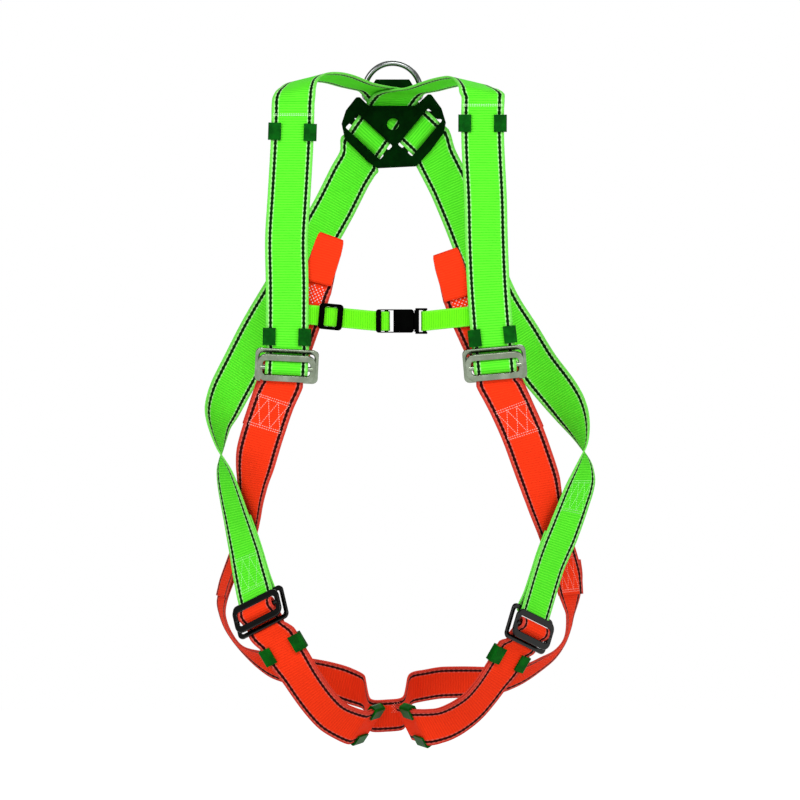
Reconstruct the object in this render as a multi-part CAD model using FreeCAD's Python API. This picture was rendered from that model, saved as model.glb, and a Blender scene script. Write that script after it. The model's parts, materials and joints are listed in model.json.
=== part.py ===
import FreeCAD, Part
import math
import os

# Full-body fall-arrest harness, hanging upright with every strap buckled.
# Millimetres.  X runs to the viewer's right, Y away from the viewer (from the chest
# to the back), Z up.  The origin lies midway between the undersides of the two
# shoulder straps, where the harness rests on its wearer.  "Left" and "right" are the
# sides seen from the front, so left is the wearer's right-hand side.

V = FreeCAD.Vector

# ---------------------------------------------------------------- driving sizes
WEBBING_WIDTH = 45.0          # load-bearing webbing
WEBBING_THICKNESS = 1.8
LAYER_GAP = 0.8               # between two layers of webbing that lie together
RUNNING_GAP = 0.4             # between webbing and the metal it is wrapped round
SAMPLE_STEP = 14.0            # spacing of the sections along a strap
PANEL_SPANS = 3               # sections that one face of a strap runs over

CHEST_WEBBING_WIDTH = 21.0    # light webbing of the chest strap
CHEST_WEBBING_THICKNESS = 1.4

LARGE_FRAME_WIDTH = 66.0      # the frame that the adjuster passes through
LARGE_FRAME_HEIGHT = 38.0
LARGE_FRAME_SIDE = 4.5        # width of its side bars
LARGE_FRAME_BAR = 5.0         # width of its long bars
ADJUSTER_WIDTH = 60.5         # the small three-bar frame
ADJUSTER_HEIGHT = 30.4
ADJUSTER_SIDE = 5.6
ADJUSTER_BAR = 7.2
FRAME_THICKNESS = 3.0
FRAME_EDGE = 1.0              # rounding of the stamped frames
CENTRE_BAR_DIAMETER = 5.0     # the knurled bar that the strap turns round
PASSING_GAP = 0.9             # from the adjuster's bar to the loop behind it

KEEPER_LENGTH = 18.0
KEEPER_WALL = 2.0
KEEPER_LIP = 13.5             # how far each lip reaches in over the strap
KEEPER_CLEARANCE = 0.8

PLATE_THICKNESS = 3.0
PLATE_FRONT = 83.0            # Y of the inner face of the dorsal plate
SLOT_LENGTH = 49.6
SLOT_WIDTH = 6.2
SLOT_PITCH = 13.3             # between the two slots of a pair
SLOT_CORNER = 1.5
SLOT_SHIFT = 0.4              # of the slots towards the plate's rim, past the strap's edge
BOSS_DIAMETER = 24.0
BOSS_HOLE_DIAMETER = 12.6
BOSS_HEIGHT = 1.5
PLATE_EDGE = 0.9              # rounding of the plate's front rim
SHIELD_HEIGHT = 0.7           # of the raised middle between the two pairs of slots
RIB_HEIGHT = 1.6
RIB_WIDTH = 4.0

D_WIRE_DIAMETER = 6.0
D_WIDTH = 65.0                # over the outside
D_LEG = 4.0                   # straight length between the bar and the bow
D_CENTRE_X = -5.8
D_BAR_Z = -17.5
D_BAR_Y = 98.0
D_BORE_CLEARANCE = 0.4
BRIDGE_FRONT = 92.6           # Y of the bridge's face, behind both straps
BRIDGE_HALF_WIDTH = 22.6
BRIDGE_TOP = 3.0
BRIDGE_ARM_THICKNESS = 2.8

SLIDER_WALL = 6.0
SLIDER_THICKNESS = 2.4
SLIDER_CLEARANCE = 0.5

LEG_LOOP_SEWN = 95.0          # doubled length behind each leg buckle's loop
CHEST_LOOP_SEWN = 52.0
LOOP_WIDTH = 31.0             # of a sternal loop, its edges folded in

LAYER_PITCH = WEBBING_THICKNESS + LAYER_GAP
WRAP_RADIUS = CENTRE_BAR_DIAMETER / 2 + RUNNING_GAP + WEBBING_THICKNESS / 2
LOOP_RADIUS = FRAME_THICKNESS / 2 + 0.9 + WEBBING_THICKNESS / 2
LARGE_FRAME_BEHIND = (FRAME_THICKNESS / 2 + PASSING_GAP + WEBBING_THICKNESS / 2
                      + LOOP_RADIUS)


# ---------------------------------------------------------------- small helpers
def unit(vector):
    return vector * (1.0 / vector.Length)


def across(lean, turn):
    """Direction across a strap: lean turns it up in the picture plane, turn
    brings its end towards the viewer."""
    a = math.radians(lean)
    b = math.radians(turn)
    return V(math.cos(b) * math.cos(a), -math.sin(b), math.cos(b) * math.sin(a))


def station(x, y, z, lean, turn):
    return V(x, y, z), across(lean, turn)


def smooth(stations, step=SAMPLE_STEP):
    """Hermite curve through the stations, as points with across directions."""
    points = [s[0] for s in stations]
    sides = [s[1] for s in stations]
    lengths = [0.0]
    for a, b in zip(points, points[1:]):
        lengths.append(lengths[-1] + (b - a).Length)
    slopes = []
    for k in range(len(points)):
        i = max(k - 1, 0)
        j = min(k + 1, len(points) - 1)
        span = 1.0 / (lengths[j] - lengths[i])
        slopes.append(((points[j] - points[i]) * span, (sides[j] - sides[i]) * span))
    out = []
    for k in range(len(points) - 1):
        h = lengths[k + 1] - lengths[k]
        count = max(1, round(h / step))
        for n in range(count + (k == len(points) - 2)):
            t = n / count
            h00 = 2 * t ** 3 - 3 * t ** 2 + 1
            h10 = (t ** 3 - 2 * t ** 2 + t) * h
            h01 = -2 * t ** 3 + 3 * t ** 2
            h11 = (t ** 3 - t ** 2) * h
            point = (points[k] * h00 + slopes[k][0] * h10
                     + points[k + 1] * h01 + slopes[k + 1][0] * h11)
            side = (sides[k] * h00 + slopes[k][1] * h10
                    + sides[k + 1] * h01 + slopes[k + 1][1] * h11)
            out.append((point, unit(side)))
    return out


def tangents(frames):
    out = []
    for k in range(len(frames)):
        i = max(k - 1, 0)
        j = min(k + 1, len(frames) - 1)
        out.append(unit(frames[j][0] - frames[i][0]))
    return out


def shifted(frames, distance):
    """The same run, moved off along the normal of its face."""
    out = []
    for (point, side), run in zip(frames, tangents(frames)):
        out.append((point + unit(side.cross(run)) * distance, side))
    return out


def ribbon(frames, width=WEBBING_WIDTH, thickness=WEBBING_THICKNESS):
    """Solid strap through the frames, cut square to its own width.  The width is one
    number, or one for each frame where the strap is folded narrower."""
    widths = width if isinstance(width, list) else [width] * len(frames)
    corners = [[], [], [], []]
    for (point, side), run, wide in zip(frames, tangents(frames), widths):
        normal = side.cross(run)
        half = side * (wide / 2 / normal.Length)
        lift = unit(normal) * (thickness / 2)
        for k, corner in enumerate((half + lift, lift - half, V() - half - lift, half - lift)):
            corners[k].append(point + corner)
    knots = [0.0]
    for a, b in zip(frames, frames[1:]):
        knots.append(knots[-1] + (b[0] - a[0]).Length)
    curves = []
    for points in corners:
        curve = Part.BSplineCurve()
        curve.interpolate(Points=points, Parameters=knots)
        curves.append(curve)
    cuts = list(range(0, len(knots) - 1, PANEL_SPANS)) + [len(knots) - 1]
    faces = []
    for start, end in zip(cuts, cuts[1:]):
        edges = [curve.toShape(knots[start], knots[end]) for curve in curves]
        faces += [Part.makeRuledSurface(edges[k], edges[(k + 1) % 4]) for k in range(4)]
    for end in (0, -1):
        loop = [corners[k][end] for k in range(4)]
        faces.append(Part.Face(Part.makePolygon(loop + loop[:1])))
    shell = Part.makeShell(faces)
    shell.sewShape()
    solid = Part.makeSolid(shell)
    if solid.Volume < 0:
        solid.reverse()
    return solid


class Seat:
    """A place and a facing: u across, v along the strap, w out of the front."""

    def __init__(self, x, y, z, lean, turn, tip, flip=False):
        self.origin = V(x, y, z)
        u = across(lean, turn)
        v = unit(V(0, 0, 1) - u * u.z)
        w = u.cross(v)
        tip = math.radians(tip)
        v = v * math.cos(tip) + w * math.sin(tip)
        if flip:
            u = V() - u
            v = V() - v
        self.u = u
        self.v = v
        self.w = u.cross(v)

    def at(self, u, v, w):
        return self.origin + self.u * u + self.v * v + self.w * w

    def frame(self, v, w):
        return self.at(0, v, w), self.u

    def place(self, shape):
        moved = shape.copy()
        seated = FreeCAD.Placement(FreeCAD.Matrix(
            self.u.x, self.v.x, self.w.x, self.origin.x,
            self.u.y, self.v.y, self.w.y, self.origin.y,
            self.u.z, self.v.z, self.w.z, self.origin.z,
            0, 0, 0, 1))
        moved.Placement = seated.multiply(shape.Placement)
        return moved


def seat_on(frames, index):
    """Seat on a strap: u across it, v along it, w out of its front."""
    point, side = frames[index]
    run = tangents(frames)[index]
    seat = Seat(0, 0, 0, 0, 0, 0)
    seat.origin = point
    seat.v = run
    seat.u = unit(side - run * side.dot(run))
    seat.w = seat.u.cross(seat.v)
    if seat.w.y > 0:
        seat.u = V() - seat.u
        seat.w = V() - seat.w
    return seat


def rounded_plate(width, height, thickness, radius):
    """Flat plate centred on the origin, with round corners, thickness along Z."""
    box = Part.makeBox(width, height, thickness, V(-width / 2, -height / 2, -thickness / 2))
    upright = [e for e in box.Edges if abs(e.Vertexes[0].Z - e.Vertexes[1].Z) > thickness / 2]
    return box.makeFillet(radius, upright)


def soften(shape, radius):
    """Rounds the rims of a flat plate, all edges that lie in its two faces."""
    zs = (shape.BoundBox.ZMin, shape.BoundBox.ZMax)
    rims = [e for e in shape.Edges
            if abs(e.BoundBox.ZMax - e.BoundBox.ZMin) < 1e-6
            and min(abs(e.BoundBox.ZMax - z) for z in zs) < 1e-6]
    return shape.makeFillet(radius, rims)


# ---------------------------------------------------------------- where things sit
SEATS = {
    "chest_left": Seat(-116, -88, -302, -3, 0, 24),
    "chest_right": Seat(101, -88, -300, 5, 0, 24),
    "leg_left": Seat(-147, -60, -555, 27, 28, -14, flip=True),
    "leg_right": Seat(141, -60, -574, -27, -45, 5, flip=True),
}


# ---------------------------------------------------------------- pass-through buckles
def large_frame():
    """Stamped rectangular frame, one window, in local u, v, w."""
    plate = rounded_plate(LARGE_FRAME_WIDTH, LARGE_FRAME_HEIGHT, FRAME_THICKNESS, 6.0)
    window = rounded_plate(LARGE_FRAME_WIDTH - 2 * LARGE_FRAME_SIDE,
                           LARGE_FRAME_HEIGHT - 2 * LARGE_FRAME_BAR,
                           FRAME_THICKNESS * 2, 3.0)
    frame = soften(plate.cut(window), FRAME_EDGE)
    frame.translate(V(0, 0, -LARGE_FRAME_BEHIND))
    return frame


def adjuster_frame():
    """Small frame with the round centre bar that the strap turns round."""
    plate = rounded_plate(ADJUSTER_WIDTH, ADJUSTER_HEIGHT, FRAME_THICKNESS, 9.0)
    window = rounded_plate(ADJUSTER_WIDTH - 2 * ADJUSTER_SIDE,
                           ADJUSTER_HEIGHT - 2 * ADJUSTER_BAR,
                           FRAME_THICKNESS * 2, 3.5)
    frame = soften(plate.cut(window), FRAME_EDGE)
    span = ADJUSTER_WIDTH - ADJUSTER_SIDE
    bar = Part.makeCylinder(CENTRE_BAR_DIAMETER / 2, span, V(-span / 2, 0, 0), V(1, 0, 0))
    return frame.fuse(bar).removeSplitter()


def pair_through(seat):
    """Strap from behind the large frame's bar round the adjuster's centre bar and
    back: first the tail, then the wrap, then the main layer, as frames."""
    behind = -(LARGE_FRAME_BEHIND + FRAME_THICKNESS / 2 + RUNNING_GAP
               + WEBBING_THICKNESS / 2)
    top = LARGE_FRAME_HEIGHT / 2
    lip = top - LARGE_FRAME_BAR
    inner = ADJUSTER_HEIGHT / 2 - ADJUSTER_BAR
    frames = [seat.frame(top, behind), seat.frame(lip - 0.2, behind),
              seat.frame(lip - 2.6, behind + 1.2), seat.frame(inner + 0.5, behind + 4.4),
              seat.frame(inner - 2.0, behind + 7.2)]
    for angle in range(40, 251, 30):
        a = math.radians(angle)
        frames.append(seat.frame(WRAP_RADIUS * math.cos(a), WRAP_RADIUS * math.sin(a)))
    frames.append(seat.frame(lip / 2, behind + 1.3))
    frames.append(seat.frame(lip + 0.6, behind - LAYER_PITCH))
    frames.append(seat.frame(top, behind - LAYER_PITCH))
    return frames


def loop_over(seat, front, doubled_length):
    """Strap that comes down its front frames, turns over the large frame's far bar
    and lies sewn behind itself for the doubled length."""
    middle = -LARGE_FRAME_BEHIND
    far = -LARGE_FRAME_HEIGHT / 2
    centre = far + LARGE_FRAME_BAR - 2.0
    side = seat.u if seat.u.dot(front[-1][1]) > 0 else V() - seat.u
    last = (seat.at(0, far, middle + LOOP_RADIUS), side)
    layer = smooth(front + [last])
    turn = []
    for angle in range(90, -91, -30):
        a = math.radians(angle)
        turn.append((seat.at(0, centre + LOOP_RADIUS * math.cos(a),
                             middle + LOOP_RADIUS * math.sin(a)), side))
    back = [(seat.at(0, far, middle - LOOP_RADIUS), side)]
    runs = tangents(layer)
    travelled = 0.0
    for k in range(len(layer) - 2, -1, -1):
        travelled += (layer[k + 1][0] - layer[k][0]).Length
        if travelled > doubled_length:
            break
        fade = math.exp(-travelled / 12.0)
        apart = LAYER_PITCH + (2 * LOOP_RADIUS - LAYER_PITCH) * fade
        normal = unit(layer[k][1].cross(runs[k]))
        if normal.dot(seat.w) > 0:
            apart = -apart
        back.append((layer[k][0] + normal * apart, layer[k][1]))
    return layer + turn + back


# ---------------------------------------------------------------- strap routes
# Each route is a list of stations: x, y, z of the middle of the strap, then the lean
# and the turn of its width.

FRONT_LEFT = [          # tail and main layer together, from the buckle to the shoulder
    station(-115.6, -87.1, -275, -2, 0), station(-115.4, -87.1, -262, -1, 0),
    station(-115.3, -87.1, -215, 0, 0),
    station(-116, -87.1, -168, 0, 0), station(-113.5, -87.1, -125, 0, 0),
    station(-110.5, -87.1, -73, 0, 0), station(-109.5, -87.1, -45, 0, 0),
    station(-109, -87.1, -25, 0, 0)]
FRONT_RIGHT = [
    station(98.7, -87.1, -273, 4, 0), station(97.5, -87.1, -262, 4, 0),
    station(94, -87.1, -215, 3, 0),
    station(92, -87.1, -168, 0, 0), station(91, -87.1, -125, 0, 0),
    station(88.5, -87.1, -73, 0, 0), station(88, -87.1, -45, 0, 0),
    station(88.5, -87.1, -19, 0, 0)]

# Above the dorsal plate both webbings lie on one curved surface, one over the other:
# upright behind the plate, rolling forward over its top edge, then nearly level.
BACK_FACE_Y = PLATE_FRONT + PLATE_THICKNESS + 0.5 + WEBBING_THICKNESS / 2
CROSSING_LIFT = LAYER_PITCH + 0.5      # of the left webbing over the right one
BACK_TURN_Z = -24.5
BACK_RADIUS = 13.0
BACK_LEVEL = math.radians(84)


def on_back(x, run, lift, lean=0.0, turn=0.0):
    """Station on that surface: run is the length up it from where it starts to
    roll forward, lift the distance outward."""
    angle = min(max(run / BACK_RADIUS, 0.0), BACK_LEVEL)
    rest = run - angle * BACK_RADIUS
    y = BACK_FACE_Y - BACK_RADIUS * (1 - math.cos(angle)) - rest * math.sin(angle)
    z = BACK_TURN_Z + BACK_RADIUS * math.sin(angle) + rest * math.cos(angle)
    return station(x, y + lift * math.cos(angle), z + lift * math.sin(angle), lean, turn)


OVER_LEFT_SHOULDER = [
    station(-107, -79, -14, 3, 16), station(-103, -64, -6, 9, 32),
    station(-98, -44, -1, 12, 34), station(-90, -22, 2, 14, 32),
    station(-75, 0, 3, 13, 38), station(-60, 20, 1, 9, 40),
    station(-44, 41, -4, 4, 36), on_back(-27, 31, CROSSING_LIFT, 3, 30),
    on_back(-19.3, 20, CROSSING_LIFT, 1, 8), on_back(-13.5, 12, CROSSING_LIFT),
    on_back(-7.5, 4, CROSSING_LIFT, 2), on_back(-0.5, -5, CROSSING_LIFT, 24)]
OVER_RIGHT_SHOULDER = [
    station(85, -79, -12, -3, -16), station(80, -64, -7, -9, -30),
    station(75, -44, -3, -12, -36), station(67, -22, -1, -12, -38),
    station(54, 0, -2, -8, -34), station(40, 20, -5, -5, -36),
    station(26, 41, -8.7, -3, -36), on_back(11.9, 31, 0, -3, -30),
    on_back(4.8, 20, 0, -1, -8), on_back(-0.4, 12, 0),
    on_back(-5.6, 4, 0, -2), on_back(-11.5, -5, 0, -16)]

# Middle of each slot pair, the lean of its slots and the heading of the strap in it.
SLOTS_RIGHT = (V(23.0, 0, -53.4), 50, (0.72, -0.69))
SLOTS_LEFT = (V(-30.3, 0, -58.0), -43, (-0.56, -0.83))

SIDE_RIGHT = [          # back to right hip and round the front to the leg buckle
    station(40, 89, -80, 31, 0), station(54, 86, -108, 25, 4),
    station(70, 80, -146, 20, 6), station(80, 73, -172, 22, 6),
    station(105, 57, -232, 28, 6), station(128, 45, -269, 32, 6),
    station(147, 33, -300, 33, 8), station(167, 20, -326, 32, 18),
    station(178, 12, -342, 28, 32), station(186, 4, -357, 26, 50),
    station(191, -2, -370, 22, 66), station(194, -7, -383, 15, 82),
    station(195, -12, -399, 0, 106), station(192, -18, -419, 0, 126),
    station(185, -25, -440, -8, 132), station(171, -37, -477, -20, 137),
    station(159, -46, -506, -20, 134)]
SIDE_LEFT = [
    station(-42, 89, -84, -36, 0), station(-51, 86, -100, -33, -4),
    station(-66, 80, -130, -29, -6), station(-84, 73, -162, -28, -6),
    station(-124, 57, -228, -33, -6), station(-144, 45, -262, -33, -6),
    station(-163, 33, -299, -34, -8), station(-178, 21, -328, -31, -18),
    station(-184, 12, -343, -26, -32), station(-188, 4, -357, -24, -50),
    station(-188, -2, -371, -22, -66), station(-186, -8, -387, -15, -84),
    station(-182, -13, -407, 0, -108), station(-177, -18, -428, 6, -118),
    station(-169, -26, -458, 14, -126), station(-160, -37, -492, 20, -138),
    station(-155, -45, -514, 24, -146)]


def plate_weave(slots, start_y):
    """Strap in through the upper slot, over the bar, out through the lower one."""
    middle, lean, (rx, rz) = slots
    run = unit(V(rx, 0, rz))
    side = across(lean, 0)
    if side.cross(run).y > 0:
        side = V() - side
    reach = SLOT_PITCH / 2 / abs(side.cross(run).y)
    centre = PLATE_FRONT + PLATE_THICKNESS / 2
    front = PLATE_FRONT - RUNNING_GAP * 2 - WEBBING_THICKNESS / 2
    back = PLATE_FRONT + PLATE_THICKNESS + RUNNING_GAP + WEBBING_THICKNESS / 2 + 0.9
    rows = [(-reach - 14.0, start_y), (-reach - 10.5, start_y),
            (-reach - 7.2, (start_y + back) / 2), (-reach - 5.0, back),
            (-reach - 2.0, centre + 2.6),
            (-reach, centre), (-reach + 2.0, centre - 2.6), (-reach + 4.4, front),
            (0, front), (reach - 4.4, front), (reach - 2.0, centre - 2.6), (reach, centre),
            (reach + 2.0, centre + 2.6), (reach + 5.0, back), (reach + 10.0, back)]
    return [(V(middle.x + run.x * d, y, middle.z + run.z * d), side) for d, y in rows]


def flipped(frames):
    return [(point, V() - side) for point, side in frames]


def long_webbing(front, over, slots, lift, side, chest, leg):
    """One green webbing, from its tail end to the loop on the opposite leg."""
    tail = smooth(front)
    main = shifted(tail, -LAYER_PITCH)
    if main[0][0].y < tail[0][0].y:
        main = shifted(tail, LAYER_PITCH)
    down = list(reversed(tail))
    buckle = pair_through(chest)
    shoulder = smooth([main[-1]] + over)[1:-1]
    weave = plate_weave(slots, BACK_FACE_Y + lift)
    if weave[0][1].dot(over[-1][1]) < 0:
        weave = flipped(weave)
    if side[0][1].dot(weave[0][1]) < 0:
        side = flipped(side)
    body = loop_over(leg, [weave[-1]] + side, LEG_LOOP_SEWN)
    return down + buckle + main + shoulder + [over[-1]] + weave + body[1:]


# ---------------------------------------------------------------- orange straps
CHEST_LEFT = [          # from the hip up to the chest buckle
    station(-185, 14, -541, -10, 76), station(-181, 11, -526, -14, 75),
    station(-172, 3, -503, -16, 74), station(-157, -17, -473, -14, 68),
    station(-154, -34, -443, -6, 57), station(-151, -46.5, -417, -8, 42),
    station(-147, -62, -391, -13, 12), station(-139.5, -70.5, -365, -17, 2),
    station(-129.5, -75, -336, -19, 0)]
CHEST_RIGHT = [
    station(181, 4, -539, 4, -57), station(178, -3, -521, 8, -51),
    station(172.5, -12, -502, 12, -49), station(163, -28, -473, 14, -46),
    station(153, -44, -442, 10, -35), station(147.5, -54, -420, 10, -16),
    station(138, -65, -392, 14, -4), station(129.5, -71.5, -369, 18, 0),
    station(117, -75, -341, 20, 0)]
STERNAL_LEFT = [        # up behind the buckle to the top of the sternal loop
    station(-141, -65.0, -366, -18, 0), station(-131, -67.5, -336, -19, 0),
    station(-123, -67.0, -312, -19, 0), station(-113, -73.0, -283, -19, 0),
    station(-98, -78.0, -240, -18, 0), station(-91, -77.0, -218, -17, 0),
    station(-79, -74.0, -194, -18, 0), station(-71.5, -73.2, -172, -20, 0)]
STERNAL_RIGHT = [
    station(131, -66.0, -370, 20, 0), station(118, -67.5, -341, 21, 0),
    station(106, -67.0, -314, 22, 0), station(95, -73.0, -288, 23, 0),
    station(76, -78.0, -246, 22, 0), station(68, -77.0, -225, 20, 0),
    station(57, -74.0, -204, 18, 0), station(51.5, -73.2, -188, 19, 0)]
SEAT_STRAP = [          # from the right hip under the seat to the left hip
    station(176, -2, -502, 180, 50), station(179.5, 4, -521, 180, 54),
    station(180, 11, -540, 180, 62), station(180.5, 17, -561, 180, 80),
    station(178, 21, -579, 233, 76), station(170, 25, -594, 210, 74),
    station(157, 30, -606, 175, 69), station(142, 35, -616, 154, 67),
    station(128, 38, -623, 129, 63), station(106, 41, -629, 103, 52),
    station(75, 42, -631, 91, 43), station(44, 41, -632, 90, 41),
    station(26, 38, -635, 88, 41), station(16, 36.5, -637, 88, 40),
    station(12.2, 33.5, -639.5, 89, 39), station(10.6, 29, -643, 90, 39),
    station(9, 18, -651.5, 90, 39), station(7, 7.5, -660, 90, 39),
    station(5, 3.6, -663, 90, 39), station(0.5, 2.2, -664.5, 90, 40),
    station(-12, 2, -665.5, 90, 40), station(-24, 2.4, -666, 90, 40),
    station(-29, 3.8, -664.8, 90, 39), station(-31, 8, -661.5, 90, 39),
    station(-33, 18, -653.5, 90, 38), station(-34.6, 29, -645, 90, 38),
    station(-36.2, 33.5, -641.6, 88, 37), station(-40, 36.5, -639.5, 84, 36),
    station(-48, 38.5, -636.5, 78, 34), station(-60, 40, -632, 76, 33),
    station(-78, 41, -626, 80, 39), station(-104, 41, -620, 74, 45),
    station(-128, 37, -614, 64, 52), station(-150, 33, -603, 30, 68),
    station(-167, 29, -592, -17, 78), station(-178, 26, -577, -25, 80),
    station(-184, 24, -561, 0, 82), station(-184.6, 21, -546, 0, 77),
    station(-178.6, 16, -527, 0, 76), station(-169.1, 8, -504, 0, 75)]


def straight(x, y, z, run, lean, turn, half):
    """Five stations in one line and one plane, so that a keeper can slide there."""
    direction = unit(V(*run))
    middle = V(x, y, z)
    side = across(lean, turn)
    return [(middle + direction * (half * k / 2), side) for k in (-2, -1, 0, 1, 2)]


THIGH_LEFT = (straight(-120, -58, -595, (0.5, 0.14, -0.855), 28, 20, 12)
              + [station(-104, -55.5, -620, 31, 30), station(-88.5, -52, -643, 37, 33),
                 station(-68, -44.5, -666, 46, 33)]
              + straight(-33.3, -15.3, -675.6, (0.52, 0.84, 0.15), 56.8, 26, 17))
THIGH_RIGHT = (straight(116.0, -53.5, -605, (-0.49, 0.16, -0.857), -27, -42, 11)
               + [station(100, -51.0, -629, -34, -48), station(79, -47.0, -655, -50, -48),
                  station(51, -37.5, -673, -58, -38)]
               + straight(15, -16.7, -675.1, (-0.52, 0.84, 0.15), -63.7, -23.5, 17))


def thigh_strap(seat, route):
    """Leg strap: tail end, up to the buckle, round its bar and back behind itself."""
    buckle = pair_through(seat)
    if buckle[0][1].dot(route[0][1]) < 0:
        buckle = flipped(buckle)
    tail = smooth([buckle[0]] + route)
    sign = 1 if unit(tail[4][1].cross(tangents(tail)[4])).dot(seat.w) < 0 else -1
    main = shifted(tail, sign * LAYER_PITCH)[1:]
    return list(reversed(tail)) + buckle[1:] + main


def sternal_loop(route, end_x, end_z, lean):
    """Strap sewn behind the chest strap, folded narrower and over at its top as an
    open loop; returns its frames and their widths."""
    bow = 4.4
    up = smooth(route)
    side = up[-1][1]
    run = tangents(up)[-1]
    run = unit(V(run.x, 0, run.z))
    top = up[-1][0] + run * 3.0
    turn = []
    for angle in (90, 50, 10, -30, -70):
        a = math.radians(angle)
        turn.append((top + run * (bow * math.cos(a)) + V(0, bow * (math.sin(a) - 1), 0), side))
    down = smooth([turn[-1], station((top.x + end_x) / 2, top.y - 2 * bow - 0.4,
                                     (top.z + end_z) / 2, lean, 0),
                   station(end_x, top.y - 2 * bow + 0.4, end_z, lean, 0)])
    fold_z = route[-2][0].z
    flat_z = route[-3][0].z
    widths = []
    for point, _ in up:
        share = min(max((point.z - flat_z) / (fold_z - flat_z), 0.0), 1.0)
        widths.append(WEBBING_WIDTH + (LOOP_WIDTH - WEBBING_WIDTH) * share)
    return up + turn + down[1:], widths + [LOOP_WIDTH] * (len(turn) + len(down) - 1)


# ---------------------------------------------------------------- chest strap
CLIP = V(3.1, -82.4, -252.8)
FEMALE_LEFT = -23.0
FEMALE_RIGHT = 16.6
CHEST_WRAP = 2.0 + RUNNING_GAP + CHEST_WEBBING_THICKNESS / 2
LEFT_BAR_X = -12.0
RIGHT_BAR_X = 27.7
SLIDER_SEAT_X = -70.0
STRAP_SLOPE = -0.095          # fall of the left chest strap towards the clip


def chest_point(x, y):
    """Point on the middle line of the left chest strap, level inside the clip."""
    return V(x, y, CLIP.z + min(0.0, x - FEMALE_LEFT) * STRAP_SLOPE)


def chest_frames(rows, middle):
    side = V(0, 0, 1)
    out = []
    for x, y in rows:
        out.append((middle(x, y), side))
    return out


def chest_strap_left():
    bar_y = CLIP.y + CLIP_BAR_BACK
    rows = [(-112, -82.3), (-95, -82.3), (-75, -82.4), (-60, -82.4), (-45, -82.6),
            (-32, -83.4), (-22, -84.2), (-16.5, bar_y - CHEST_WRAP + 0.1)]
    for angle in range(-90, 91, 45):
        a = math.radians(angle)
        rows.append((LEFT_BAR_X + CHEST_WRAP * math.cos(a), bar_y + CHEST_WRAP * math.sin(a)))
    rows += [(-20, -78.2), (-32, -78.0), (-48, -78.0), (-64, -78.0)]
    return ribbon(chest_frames(rows, chest_point), CHEST_WEBBING_WIDTH,
                  CHEST_WEBBING_THICKNESS)


def chest_strap_right():
    def middle(x, y):
        return V(x, y, CLIP.z + max(0.0, x - RIGHT_BAR_X) * 0.105)
    rows = [(98, -82.3), (85, -82.3), (70, -82.4), (56, -82.8), (42, -84.0),
            (34, -85.0)]
    for angle in range(-90, -271, -45):
        a = math.radians(angle)
        rows.append((RIGHT_BAR_X + CHEST_WRAP * math.cos(a), CLIP.y + CHEST_WRAP * math.sin(a)))
    rows += [(34, -79.6), (42, -80.4), (52, -80.6), (60, -80.6)]
    return ribbon(chest_frames(rows, middle), CHEST_WEBBING_WIDTH, CHEST_WEBBING_THICKNESS)


def box_between(low, high):
    return Part.makeBox(high[0] - low[0], high[1] - low[1], high[2] - low[2], V(*low))


def round_edges(shape, radius, direction):
    """Rounds the edges of a shape that run along one axis."""
    picked = []
    for edge in shape.Edges:
        run = edge.Vertexes[-1].Point - edge.Vertexes[0].Point
        if run.Length > 1e-6 and abs(unit(run).dot(direction)) > 0.999:
            picked.append(edge)
    return shape.makeFillet(radius, picked)


def slider():
    """Three-bar slider: rim in front of the webbing, middle bar behind it."""
    half_long = 12.6
    half_high = CHEST_WEBBING_WIDTH / 2 + SLIDER_CLEARANCE + 2.6
    inner_high = CHEST_WEBBING_WIDTH / 2 + SLIDER_CLEARANCE
    inner_long = half_long - SLIDER_WALL
    rear = -CHEST_WEBBING_THICKNESS / 2 - SLIDER_CLEARANCE
    front = rear - SLIDER_THICKNESS
    rim = box_between((-half_long, front, -half_high), (half_long, rear, half_high))
    rim = round_edges(rim, 4.0, V(0, 1, 0))
    hole = box_between((-inner_long, front - 1, -inner_high + 0.6),
                       (inner_long, rear + 1, inner_high - 0.6))
    rim = rim.cut(round_edges(hole, 2.0, V(0, 1, 0)))
    back = CHEST_WEBBING_THICKNESS / 2 + SLIDER_CLEARANCE
    bar = box_between((-2.0, back, -half_high + 0.6), (2.0, back + 2.0, half_high - 0.6))
    posts = [box_between((-2.0, rear - 0.5, low), (2.0, back + 2.0, low + 2.0))
             for low in (inner_high, -inner_high - 2.0)]
    shape = rim.fuse([bar] + posts).removeSplitter()
    shape.rotate(V(), V(0, 1, 0), math.degrees(math.atan(-STRAP_SLOPE)))
    shape.translate(chest_point(SLIDER_SEAT_X, CLIP.y))
    return shape


CLIP_HALF_HIGH = 12.2
CLIP_BAR_BACK = 1.2           # the female half's bar lies this far behind its middle
CLIP_HALF_DEEP = 4.8
CAVITY_LEFT = -3.0
CAVITY_HALF_HIGH = 9.8
CAVITY_HALF_DEEP = 2.9
MALE_CLEARANCE = 0.4
PRONG_ROOT_X = 15.6
PRONG_ROOT_Z = 6.9            # middle of the arm's round root, from the clip's middle
PRONG_ROOT_RADIUS = 1.7


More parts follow.
